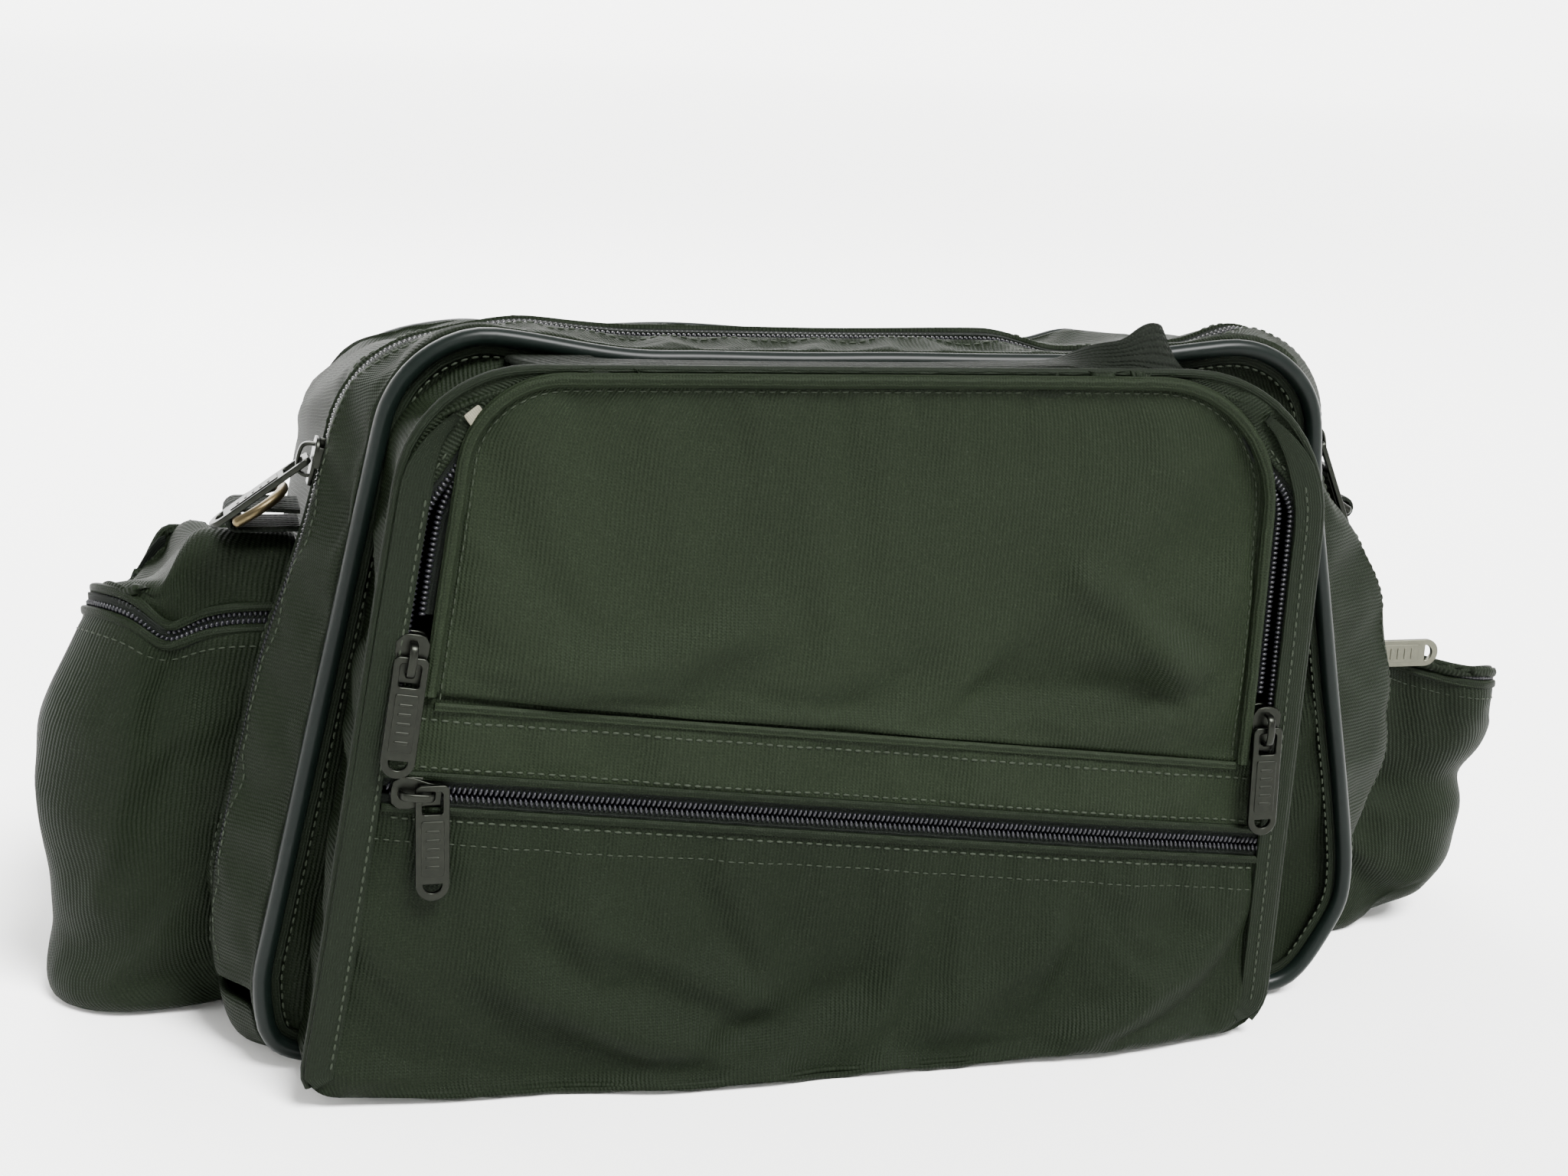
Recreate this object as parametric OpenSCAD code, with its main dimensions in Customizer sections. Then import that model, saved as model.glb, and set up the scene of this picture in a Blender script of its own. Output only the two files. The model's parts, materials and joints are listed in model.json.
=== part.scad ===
// Soft flight bag standing on its base, in its settled, half-empty shape.
// Millimetres. +Z is up, the front faces -Y, +X is to the right seen from the front.
// The origin is the middle of the base. Sewn pieces are plain closed solids.

/* [Bag body] */
// Half width of the bag at its base
base_half_width = 184.5; // [170:0.5:200]
// Half width of the bag at its top
top_half_width = 137; // [125:0.5:150]
// Height of the front panel
body_height = 219; // [205:1:235]
// Height of the back panel, lower because the empty bag slumps
back_height = 198; // [185:1:215]
// Depth of the bag from front panel to back panel
body_depth = 160; // [150:1:170]
// How far the gusset bulges sideways behind the front seam
gusset_flare = 10; // [6:1:14]
// Thickness of the lined fabric walls
wall = 2.4; // [2:0.2:3]
// Radius of the top corners
top_corner_r = 34; // [28:1:40]
// Radius of the bottom corners
bottom_corner_r = 28; // [22:1:34]
// Radius of the vinyl piping
piping_r = 2.4; // [2:0.1:2.6]
// Thickness of the stiffening board in the base
board_thickness = 3; // [2:0.5:4]

/* [Front pocket] */
// Depth of the front pocket
pocket_depth = 30; // [26:1:34]
// Height of the pocket's face, which stands above its top wall
pocket_face_top_z = 211; // [209:1:212]
// Height of the pocket's top wall, where the handle lies
pocket_top_z = 206; // [203:1:206]
// Pocket's left edge at the top
pocket_left_top = -134; // [-136:1:-132]
// Pocket's left edge at the base
pocket_left_base = -166; // [-168:1:-163]
// Pocket's right edge at the top
pocket_right_top = 134; // [132:1:136]
// Pocket's right edge at the base
pocket_right_base = 132; // [131:1:136]
// Thickness of the pocket's fabric
pocket_wall = 2; // [1.6:0.2:2.4]

/* [Flap] */
// Slope of the flap's bottom seam and of the lower zip, in degrees
seam_slope = 6.5; // [4:0.5:8]
// Height of the flap's bottom seam at the middle of the bag
seam_mid_z = 105; // [100:1:110]
// Height of the flap's top edge
flap_top_z = 205; // [200:1:206]
// Flap's left edge at the top
flap_left_top = -117.5; // [-120:0.5:-115]
// Flap's left edge at the seam
flap_left_base = -130; // [-132:0.5:-127]
// Flap's right edge
flap_right = 115; // [112:0.5:117]
// Radius of the rolled fabric edge round the flap
flap_piping_r = 2; // [1.6:0.1:2.2]
// Distance of the lower zip below the flap's bottom seam
lower_zip_drop = 26; // [23:1:29]

/* [End pockets] */
// How far the left end pocket reaches from the middle of the bag
left_pocket_reach = 237; // [232:1:242]
// How far the right end pocket reaches from the middle of the bag
right_pocket_reach = 243; // [236:1:246]
// Height of the left end pocket's zip
left_zip_z = 126; // [120:1:130]
// Height of the right end pocket's zip, which has sagged
right_zip_z = 105; // [100:1:110]
// Height of the left lid's top
left_lid_z = 149; // [146:1:150]
// Height of the right lid's top
right_lid_z = 116; // [113:1:122]
// Front face of the end pockets
end_pocket_front_y = -40; // [-44:1:-36]
// Rear face of the end pockets
end_pocket_rear_y = 60; // [50:1:64]

/* [Zips and pulls] */
// Width of a slider
slider_width = 9.5; // [9:0.1:10]
// Length of a slider
slider_length = 14; // [12:0.5:15]
// Length of a pull tab from its bar to its end
pull_length = 33; // [30:1:35]
// Height of the main zip's left slider
main_left_slider_z = 176; // [170:1:178]
// Height of the main zip's right slider
main_right_slider_z = 180; // [170:1:182]
// Height of the strap rings' webbing lugs
lug_z = 156; // [154:1:158]

/* [Handles] */
// Half the distance between the middles of the front handle's ends
front_handle_half = 94; // [88:1:98]
// Half the distance between the middles of the rear handle's ends
rear_handle_half = 75; // [65:1:90]
// Width of the webbing
webbing_width = 25; // [22:1:25]
// Thickness of the webbing
webbing_thickness = 2.4; // [2:0.1:2.6]

/* [Hidden] */

fabric_colour = [0.13, 0.16, 0.13];
lining_colour = [0.10, 0.11, 0.10];
vinyl_colour = [0.10, 0.14, 0.12];
coil_colour = [0.08, 0.09, 0.08];
webbing_colour = [0.15, 0.17, 0.13];
metal_colour = [0.36, 0.37, 0.35];
label_colour = [0.62, 0.62, 0.56];

// Steps along each rounded corner
arc_steps = 8;
// Lean of the bag's sides from the vertical
side_lean = atan((base_half_width - top_half_width) / body_height);
// Rows of the bag from front to back
front_y = -body_depth / 2;
back_y = body_depth / 2;
strip_end_y = -62;
belly_y = 30;
belly_flare = gusset_flare + 4;
belly_height = body_height - 10;
// Height at which the main zip ends above the base
zip_foot_z = 24;
// Room between pieces that move past each other
gap = 0.3;
// A length that reaches past everything
far = 600;

// Zip chain, measured outward from the middle of the chain
coil_half_gap = 1;
coil_width = 1.6;
coil_thickness = 1.4;
tape_width = 2.6;
tape_thickness = 0.8;
zip_half_width = coil_half_gap + coil_width + tape_width;
zip_middle_y = strip_end_y + zip_half_width;
zip_end_y = strip_end_y + 2 * zip_half_width;

// Slider and pull
plate_thickness = 1.2;
plate_gap = 3;
post_width = 1.4;
post_length = 5;
bridge_width = 2.4;
bridge_clear = 2.8;
bridge_length = 7;
pull_thickness = 1.8;
pull_bar = 1.8;
loop_hole_width = 5.8;
loop_hole_end = 7.5;
plate_front = plate_gap / 2 + plate_thickness;
bar_out = plate_front + bridge_clear / 2;

// Front pocket rows
pocket_face_y = front_y - pocket_depth;
pocket_zip_y = pocket_face_y + pocket_wall / 2;
// Distance of the flap zip's middle from the flap's edge
flap_zip_offset = flap_piping_r + tape_width + coil_width + coil_half_gap;

// ---------- outlines, as lists of [x, z] points, counter-clockwise ----------

function unit(v) = v / norm(v);
function cross2(u, v) = u[0] * v[1] - u[1] * v[0];
function left_of(v) = [-v[1], v[0]];
function meet(p, u, q, v) = p + u * cross2(q - p, v) / cross2(u, v);

// Corners of an outline whose every edge is moved inward by d
function inset_corners(corners, d) = [
    for (i = [0 : len(corners) - 1])
        let (
            n = len(corners),
            here = corners[i],
            u = unit(here - corners[(i + n - 1) % n]),
            v = unit(corners[(i + 1) % n] - here)
        )
        meet(here + left_of(u) * d, u, here + left_of(v) * d, v)
];

function corner_middle(corners, i, r) =
    let (
        n = len(corners),
        a = unit(corners[(i + n - 1) % n] - corners[i]),
        b = unit(corners[(i + 1) % n] - corners[i])
    )
    corners[i] + unit(a + b) * r / sin(acos(a * b) / 2);

// Angle at which the round stretch of corner i starts
function corner_start(corners, i) =
    let (
        n = len(corners),
        u = unit(corners[i] - corners[(i + n - 1) % n])
    )
    atan2(-u[0], u[1]);

function corner_sweep(corners, i) =
    let (
        n = len(corners),
        u = unit(corners[i] - corners[(i + n - 1) % n]),
        v = unit(corners[(i + 1) % n] - corners[i])
    )
    acos(u * v);

// Outline with round corners, radii given corner by corner
function rounded(corners, radii) = [
    for (i = [0 : len(corners) - 1])
        let (
            r = max(radii[i], 0.01),
            m = corner_middle(corners, i, r),
            start = corner_start(corners, i),
            sweep = corner_sweep(corners, i)
        )
        for (k = [0 : arc_steps])
            let (a = start + sweep * k / arc_steps)
            m + r * [cos(a), sin(a)]
];

function inset_outline(corners, radii, d) =
    rounded(inset_corners(corners, d), [for (r = radii) r - d]);

// The bag's outline at one row: its height, sideways flare and inset
function bag_corners(height, flare) = [
    [-base_half_width - flare, 0],
    [base_half_width + flare, 0],
    [base_half_width + flare - height * tan(side_lean), height],
    [-base_half_width - flare + height * tan(side_lean), height]
];
bag_radii = [bottom_corner_r, bottom_corner_r, top_corner_r, top_corner_r];
function bag_outline(height, flare, inset = 0) =
    inset_outline(bag_corners(height, flare), bag_radii, inset);

pocket_foot_z = 3.5;
function pocket_corners(top_z) = [
    [pocket_left_base, pocket_foot_z],
    [pocket_right_base, pocket_foot_z],
    [pocket_right_top, top_z],
    [pocket_left_top, top_z]
];
pocket_radii = [14, 18, 50, 40];
function pocket_outline(top_z, inset = 0) =
    inset_outline(pocket_corners(top_z), pocket_radii, inset);

function seam_z(x) = seam_mid_z - x * tan(seam_slope);
flap_corners = [
    [flap_left_base, seam_z(flap_left_base)],
    [flap_right, seam_z(flap_right)],
    [flap_right, flap_top_z],
    [flap_left_top, flap_top_z]
];
flap_radii = [0, 0, 38, 26];
flap_left_lean = atan((flap_left_top - flap_left_base)
    / (flap_top_z - seam_z(flap_left_base)));

// ---------- building modules ----------

// A plate of the given outline between two rows
module slab(y0, y1, outline) {
    translate([0, y1, 0])
        rotate([90, 0, 0])
            linear_extrude(y1 - y0)
                polygon(outline);
}

// A blend between two outlines at two rows
module loft(y0, outline0, y1, outline1) {
    hull() {
        slab(y0, y0 + 0.01, outline0);
        slab(y1 - 0.01, y1, outline1);
    }
}

// A band of the bag's outline between two insets
module bag_band(y0, y1, height, flare, outer, inner) {
    difference() {
        slab(y0, y1, bag_outline(height, flare, outer));
        slab(y0 - 1, y1 + 1, bag_outline(height, flare, inner));
    }
}

// A band round an outline between two distances outside its edge
module edge_band(y0, y1, corners, radii, near_edge, far_edge) {
    difference() {
        slab(y0, y1, inset_outline(corners, radii, -far_edge));
        slab(y0 - 1, y1 + 1, inset_outline(corners, radii, -near_edge));
    }
}

// Everything above a height
module above(z) {
    translate([-far / 2, -far / 2, z])
        cube([far, far, far]);
}

// Everything above the flap's bottom seam, moved up by rise
module above_seam(rise) {
    translate([0, 0, seam_mid_z])
        rotate([0, seam_slope, 0])
            translate([-far / 2, -far / 2, rise])
                cube([far, far, far]);
}

// Everything within a band below the flap's bottom seam
module below_seam(near_drop, far_drop) {
    translate([0, 0, seam_mid_z])
        rotate([0, seam_slope, 0])
            translate([-far / 2, -far / 2, -far_drop])
                cube([far, far, far_drop - near_drop]);
}

module arc_tube(middle, radius, start, sweep, r, y) {
    translate([middle[0], y, middle[1]])
        rotate([90, 0, 0])
            rotate([0, 0, start])
                rotate_extrude(angle = sweep, $fn = 64)
                    translate([radius, 0])
                        circle(r, $fn = 24);
}

// Stops a hair short at both ends, so piping is a row of separate closed lengths
module straight_tube(from, to, r, y) {
    hair = 0.03;
    translate([from[0], y, from[1]])
        rotate([0, atan2(to[0] - from[0], to[1] - from[1]), 0])
            translate([0, 0, hair])
                cylinder(h = norm(to - from) - 2 * hair, r = r, $fn = 24);
}

// Piping along a rounded outline, from corner first to corner last
module piping(corners, radii, r, y, first, last, closed) {
    n = len(corners);
    for (i = [first : last]) {
        arc_tube(corner_middle(corners, i, radii[i]), radii[i],
            corner_start(corners, i), corner_sweep(corners, i), r, y);
    }
    for (i = [first : closed ? last : last - 1]) {
        j = (i + 1) % n;
        a = corner_start(corners, i) + corner_sweep(corners, i);
        straight_tube(corner_middle(corners, i, radii[i]) + radii[i] * [cos(a), sin(a)],
            corner_middle(corners, j, radii[j]) + radii[j] * [cos(a), sin(a)], r, y);
    }
}

// Slider with its chain along Z and its face towards -Y
module slider() {
    plate = [slider_width, plate_thickness, slider_length];
    for (y = [-plate_front, plate_gap / 2]) {
        translate([-slider_width / 2, y, -slider_length / 2])
            cube(plate);
    }
    translate([-post_width / 2, -plate_gap / 2 - 0.1, slider_length / 2 - post_length])
        cube([post_width, plate_gap + 0.2, post_length]);
    leg = 1.4;
    for (side = [-1, 1]) {
        translate([-bridge_width / 2, -plate_front - bridge_clear - 0.1,
            side * (bridge_length + leg) / 2 - leg / 2])
            cube([bridge_width, bridge_clear + 0.2, leg]);
    }
    translate([-bridge_width / 2, -plate_front - bridge_clear - plate_thickness,
        -bridge_length / 2 - leg])
        cube([bridge_width, plate_thickness, bridge_length + 2 * leg]);
}

// Pull tab hanging from its bar at the origin
module pull() {
    rail = (slider_width - loop_hole_width) / 2;
    end_r = slider_width / 2;
    rotate([90, 0, 0])
        translate([0, 0, -pull_thickness / 2])
            linear_extrude(pull_thickness)
                difference() {
                    union() {
                        translate([-end_r, -pull_length + end_r])
                            square([slider_width, pull_length - end_r + pull_bar / 2]);
                        translate([0, -pull_length + end_r])
                            circle(end_r, $fn = 32);
                    }
                    translate([-loop_hole_width / 2, -loop_hole_end])
                        square([loop_hole_width, loop_hole_end - pull_bar / 2]);
                    intersection() {
                        translate([0, -pull_length + end_r])
                            circle(end_r - rail, $fn = 32);
                        translate([-end_r, -pull_length])
                            square([slider_width, end_r + 1]);
                    }
                }
}

// ---------- where each slider stands ----------

function bag_side_x(z, flare) = base_half_width + flare - z * tan(side_lean);
chain_inset = wall / 2;

// Moves a slider or pull to the left side of the main zip
module on_main_left(z) {
    translate([-bag_side_x(z, gusset_flare) + chain_inset / cos(side_lean), zip_middle_y, z])
        rotate([0, side_lean, 0])
            rotate([0, 0, -90])
                children();
}

flap_left_slider_rise = 13;
flap_right_slider_rise = 11;
flap_left_slider_z = seam_z(flap_left_base) + flap_left_slider_rise;
flap_right_slider_z = seam_z(flap_right) + flap_right_slider_rise;
function flap_left_x(z) = flap_left_top - (flap_top_z - z) * tan(flap_left_lean);

module on_flap_left() {
    translate([flap_left_x(flap_left_slider_z) - flap_zip_offset / cos(flap_left_lean),
        pocket_zip_y, flap_left_slider_z])
        rotate([0, flap_left_lean, 0])
            children();
}

module on_flap_right() {
    translate([flap_right + flap_zip_offset, pocket_zip_y, flap_right_slider_z])
        children();
}

lower_slider_x = -134;
function lower_zip_z(x) = seam_z(x) - lower_zip_drop / cos(seam_slope);

module on_lower_zip() {
    translate([lower_slider_x, pocket_zip_y, lower_zip_z(lower_slider_x)])
        rotate([0, 90 + seam_slope, 0])
            children();
}

left_pocket_slider_x = -182;
right_pocket_slider_x = 187;

module on_left_pocket() {
    translate([left_pocket_slider_x, end_pocket_rear_y - pocket_wall / 2, left_zip_z])
        rotate([0, 0, 180])
            rotate([0, -90, 0])
                children();
}

module on_right_pocket() {
    translate([right_pocket_slider_x, end_pocket_front_y + pocket_wall / 2, right_zip_z])
        rotate([0, -90, 0])
            children();
}

// ---------- bag body ----------

module body_outside(inset) {
    loft(front_y + wall, bag_outline(body_height, 0, inset),
        strip_end_y, bag_outline(body_height, gusset_flare, inset));
    slab(strip_end_y, zip_end_y, bag_outline(body_height, gusset_flare, inset));
    loft(zip_end_y, bag_outline(body_height, gusset_flare, inset),
        belly_y, bag_outline(belly_height, belly_flare, inset));
    loft(belly_y, bag_outline(belly_height, belly_flare, inset),
        back_y - wall, bag_outline(back_height, 0, inset));
}

module back_panel() {
    color(fabric_colour)
        slab(back_y - wall, back_y, bag_outline(back_height, 0));
}

module rear_gusset() {
    color(fabric_colour)
        difference() {
            body_outside(0);
            body_outside(wall);
            // the rows that belong to the front panel and the zip
            translate([-far / 2, front_y, zip_foot_z - 2])
                cube([far, zip_end_y - front_y, far]);
            translate([-far / 2, front_y, -1])
                cube([far, wall + gap, far]);
        }
}

module base_board() {
    half_length = base_half_width - 1.4 * bottom_corner_r;
    color(lining_colour)
        translate([-half_length, front_y + 6, wall])
            cube([2 * half_length, body_depth - 12, board_thickness]);
}

module rear_piping() {
    color(vinyl_colour)
        piping(inset_corners(bag_corners(back_height, 0), piping_r + 0.2),
            [for (r = bag_radii) r - piping_r], piping_r, back_y + piping_r, 0, 3, true);
}

module main_tape(y0) {
    color(lining_colour)
        intersection() {
            bag_band(y0, y0 + tape_width, body_height, gusset_flare,
                chain_inset - tape_thickness / 2, chain_inset + tape_thickness / 2);
            above(zip_foot_z);
        }
}

module main_coil(y0) {
    color(coil_colour)
        intersection() {
            bag_band(y0, y0 + coil_width, body_height, gusset_flare,
                chain_inset - coil_thickness / 2, chain_inset + coil_thickness / 2);
            above(zip_foot_z);
        }
}

module main_zip_rear_tape() main_tape(zip_end_y - tape_width);
module main_zip_rear_coil() main_coil(zip_middle_y + coil_half_gap);

// ---------- end pockets, drawn on the right and mirrored for the left ----------

end_corner_r = 28;
end_floor_z = 1;
end_inner_x = 100;

function fold_x(reach) = reach - 52;

// Plan of an end pocket, inset by d
module end_plan(reach, d) {
    y0 = end_pocket_front_y + d;
    y1 = end_pocket_rear_y - d;
    r = end_corner_r - d;
    translate([end_inner_x, y0])
        square([reach - d - r - end_inner_x, y1 - y0]);
    translate([end_inner_x, y0 + r])
        square([reach - d - end_inner_x, y1 - y0 - 2 * r]);
    for (y = [y0 + r, y1 - r]) {
        translate([reach - d - r, y])
            circle(r, $fn = 48);
    }
}

// A wall of an end pocket between two heights and two insets
module end_wall(reach, z0, z1, outer, inner) {
    translate([0, 0, z0])
        linear_extrude(z1 - z0)
            difference() {
                end_plan(reach, outer);
                end_plan(reach, inner);
            }
}

module end_plate(reach, z0, thickness) {
    translate([0, 0, z0])
        linear_extrude(thickness)
            end_plan(reach, 0);
}

module inside_fold(reach) {
    translate([0, -far / 2, -1])
        cube([fold_x(reach) - gap / 2, far, far]);
}

module outside_fold(reach) {
    translate([fold_x(reach) + gap / 2, -far / 2, -1])
        cube([far, far, far]);
}

// The bag's side at its widest row, grown outward, as a solid behind the end pocket
module bag_side(growth) {
    slab(end_pocket_front_y - 5, end_pocket_rear_y + 5,
        bag_outline(body_height, belly_flare + growth));
}

module end_shell(reach, zip_z, lid_z) {
    chain_half = coil_half_gap + coil_width;
    color(fabric_colour)
        difference() {
            union() {
                end_wall(reach, end_floor_z, zip_z - chain_half, 0, pocket_wall);
                end_plate(reach, end_floor_z, pocket_wall);
                // the strip between the bag's side and the lid's fold
                intersection() {
                    union() {
                        end_wall(reach, zip_z + chain_half, lid_z, 0, pocket_wall);
                        end_plate(reach, lid_z - pocket_wall, pocket_wall);
                    }
                    inside_fold(reach);
                }
                // the wall against the bag's side
                intersection() {
                    end_plate(reach, end_floor_z, lid_z - end_floor_z);
                    bag_side(gap + pocket_wall);
                }
            }
            bag_side(gap);
        }
}

// Lower half of an end pocket's chain, with the fixed ends of its upper half
module end_coil(reach, zip_z) {
    outer = (pocket_wall - coil_thickness) / 2;
    inner = (pocket_wall + coil_thickness) / 2;
    color(coil_colour)
        difference() {
            union() {
                end_wall(reach, zip_z - coil_half_gap - coil_width, zip_z - coil_half_gap,
                    outer, inner);
                intersection() {
                    end_wall(reach, zip_z + coil_half_gap, zip_z + coil_half_gap + coil_width,
                        outer, inner);
                    inside_fold(reach);
                }
            }
            bag_side(gap + pocket_wall);
        }
}

module end_lid(reach, zip_z, lid_z) {
    color(fabric_colour)
        intersection() {
            union() {
                end_wall(reach, zip_z + coil_half_gap + coil_width, lid_z, 0, pocket_wall);
                end_plate(reach, lid_z - pocket_wall, pocket_wall);
            }
            outside_fold(reach);
        }
}

module end_lid_coil(reach, zip_z) {
    color(coil_colour)
        intersection() {
            end_wall(reach, zip_z + coil_half_gap, zip_z + coil_half_gap + coil_width,
                (pocket_wall - coil_thickness) / 2, (pocket_wall + coil_thickness) / 2);
            outside_fold(reach);
        }
}

module left_pocket_shell() mirror([1, 0, 0]) end_shell(left_pocket_reach, left_zip_z, left_lid_z);
module left_pocket_coil() mirror([1, 0, 0]) end_coil(left_pocket_reach, left_zip_z);
module left_pocket_lid() mirror([1, 0, 0]) end_lid(left_pocket_reach, left_zip_z, left_lid_z);
module left_lid_coil() mirror([1, 0, 0]) end_lid_coil(left_pocket_reach, left_zip_z);
module right_pocket_shell() end_shell(right_pocket_reach, right_zip_z, right_lid_z);
module right_pocket_coil() end_coil(right_pocket_reach, right_zip_z);
module right_pocket_lid() end_lid(right_pocket_reach, right_zip_z, right_lid_z);
module right_lid_coil() end_lid_coil(right_pocket_reach, right_zip_z);

// ---------- strap lugs and rings, drawn on the right ----------

lug_middle_y = -34;
lug_width = 19;
lug_reach = 178;
lug_half_thickness = 2.3;
ring_wire_r = 1.5;
ring_bore_r = 1.75;
ring_half_width = 11.5;
ring_arm = 4;
ring_lean = 30;

module strap_lug() {
    inner_x = bag_side_x(lug_z, gusset_flare) - 0.5;
    color(webbing_colour)
        translate([0, lug_middle_y + lug_width / 2, lug_z])
            rotate([90, 0, 0])
                linear_extrude(lug_width)
                    difference() {
                        union() {
                            translate([inner_x, -lug_half_thickness])
                                square([lug_reach - inner_x, 2 * lug_half_thickness]);
                            translate([lug_reach, 0])
                                circle(ring_wire_r + lug_half_thickness, $fn = 32);
                        }
                        translate([lug_reach, 0])
                            circle(ring_bore_r, $fn = 32);
                    }
}

module strap_ring() {
    color(metal_colour)
        translate([lug_reach, lug_middle_y, lug_z])
            rotate([0, ring_lean, 0]) {
                translate([0, ring_half_width, 0])
                    rotate([90, 0, 0])
                        cylinder(h = 2 * ring_half_width, r = ring_wire_r, $fn = 24);
                for (side = [-1, 1]) {
                    translate([0, side * ring_half_width, 0]) {
                        sphere(ring_wire_r, $fn = 24);
                        rotate([0, -90, 0])
                            cylinder(h = ring_arm, r = ring_wire_r, $fn = 24);
                    }
                }
                translate([-ring_arm, 0, 0])
                    rotate([0, 0, 90])
                        rotate_extrude(angle = 180, $fn = 64)
                            translate([ring_half_width, 0])
                                circle(ring_wire_r, $fn = 24);
            }
}

module left_strap_lug() mirror([1, 0, 0]) strap_lug();
module right_strap_lug() strap_lug();
module left_strap_ring() mirror([1, 0, 0]) strap_ring();
module right_strap_ring() strap_ring();

// ---------- front panel, which folds down about its foot ----------

module front_panel() {
    color(fabric_colour)
        intersection() {
            slab(front_y, front_y + wall, bag_outline(body_height, 0));
            above(0.6);
        }
}

module front_gusset() {
    color(fabric_colour)
        intersection() {
            difference() {
                loft(front_y + wall, bag_outline(body_height, 0),
                    strip_end_y, bag_outline(body_height, gusset_flare));
                loft(front_y + wall - 0.1, bag_outline(body_height, 0, wall),
                    strip_end_y + 0.1, bag_outline(body_height, gusset_flare, wall));
            }
            above(zip_foot_z);
        }
}

module front_piping() {
    color(vinyl_colour)
        piping(inset_corners(bag_corners(body_height, 0), piping_r + 0.2),
            [for (r = bag_radii) r - piping_r], piping_r, front_y - piping_r, 0, 3, true);
}

module main_zip_front_tape() main_tape(strip_end_y);
module main_zip_front_coil() main_coil(zip_middle_y - coil_half_gap - coil_width);

module pocket_gusset() {
    piping_width = 2 * piping_r + 0.2;
    color(fabric_colour)
        difference() {
            slab(pocket_face_y + pocket_wall, front_y, pocket_outline(pocket_top_z));
            slab(pocket_face_y, front_y + 1, pocket_outline(pocket_top_z, pocket_wall));
            // groove where the foot of the pocket sits over the front piping
            bag_band(front_y - piping_width, front_y + 1, body_height, 0,
                -gap, piping_width + gap);
        }
}

// A part of the pocket's face, between two rows
module face_slab(y0, y1, inset) {
    slab(y0, y1, pocket_outline(pocket_face_top_z, inset));
}

module pocket_frame() {
    color(fabric_colour)
        intersection() {
            difference() {
                face_slab(pocket_face_y, pocket_face_y + pocket_wall, 0);
                slab(pocket_face_y - 1, front_y,
                    inset_outline(flap_corners, flap_radii, -flap_zip_offset - zip_half_width));
            }
            above_seam(0);
        }
}

module pocket_bindings() {
    binding_width = 4.4;
    binding_thickness = 0.9;
    straight_top_z = 165;
    color(lining_colour)
        difference() {
            edge_band(pocket_face_y - binding_thickness, pocket_face_y,
                pocket_corners(pocket_face_top_z), pocket_radii, -binding_width, 0);
            above(straight_top_z);
            translate([-far / 2, -far / 2, -far + 22])
                cube([far, far, far]);
        }
}

module pocket_divider() {
    color(lining_colour)
        intersection() {
            slab(pocket_face_y + pocket_wall, front_y, pocket_outline(pocket_top_z, pocket_wall));
            below_seam(2, 3.4);
        }
}

module pocket_band() {
    color(fabric_colour)
        intersection() {
            face_slab(pocket_face_y, pocket_face_y + pocket_wall, 0);
            below_seam(gap / 2, lower_zip_drop - zip_half_width);
        }
}

module lower_panel() {
    color(fabric_colour)
        intersection() {
            face_slab(pocket_face_y, pocket_face_y + pocket_wall, 0);
            below_seam(lower_zip_drop + zip_half_width, far);
        }
}

module lower_zip_tapes() {
    color(lining_colour)
        for (drop = [lower_zip_drop - zip_half_width, lower_zip_drop + zip_half_width - tape_width]) {
            intersection() {
                face_slab(pocket_zip_y - tape_thickness / 2, pocket_zip_y + tape_thickness / 2, 0.6);
                below_seam(drop, drop + tape_width);
            }
        }
}

module lower_zip_coil() {
    color(coil_colour)
        for (drop = [lower_zip_drop - coil_half_gap - coil_width, lower_zip_drop + coil_half_gap]) {
            intersection() {
                face_slab(pocket_zip_y - coil_thickness / 2, pocket_zip_y + coil_thickness / 2, 6);
                below_seam(drop, drop + coil_width);
            }
        }
}

module flap_zip_outer_tape() {
    color(lining_colour)
        intersection() {
            edge_band(pocket_zip_y - tape_thickness / 2, pocket_zip_y + tape_thickness / 2,
                flap_corners, flap_radii, flap_zip_offset + zip_half_width - tape_width,
                flap_zip_offset + zip_half_width);
            above_seam(0);
        }
}

module flap_zip_outer_coil() {
    color(coil_colour)
        intersection() {
            edge_band(pocket_zip_y - coil_thickness / 2, pocket_zip_y + coil_thickness / 2,
                flap_corners, flap_radii, flap_zip_offset + coil_half_gap,
                flap_zip_offset + coil_half_gap + coil_width);
            above_seam(3);
        }
}

// Woven label whose corner shows past the flap's top left corner
module pocket_label() {
    corner = corner_middle(flap_corners, 3, flap_radii[3]);
    near_edge = flap_radii[3] + flap_piping_r + 0.4;
    color(label_colour)
        translate([corner[0], pocket_face_y - 0.3, corner[1]])
            rotate([0, -142, 0])
                translate([near_edge, -0.5, -4])
                    cube([7, 0.5, 8]);
}

handle_pivot_y = front_y - 6.4;
handle_pivot_z = 210.4;
grip_width = 12;
grip_thickness = 4.8;
front_leg = 9.2;
// Room that a leg's square end needs while it turns about its pivot line
turning_room = webbing_thickness * sqrt(0.5) + gap;

module front_handle_anchors() {
    color(webbing_colour)
        for (side = [-1, 1]) {
            translate([side * front_handle_half - webbing_width / 2,
                handle_pivot_y + turning_room, handle_pivot_z - webbing_thickness / 2])
                cube([webbing_width, front_y - handle_pivot_y - turning_room,
                    webbing_thickness]);
        }
}

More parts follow.
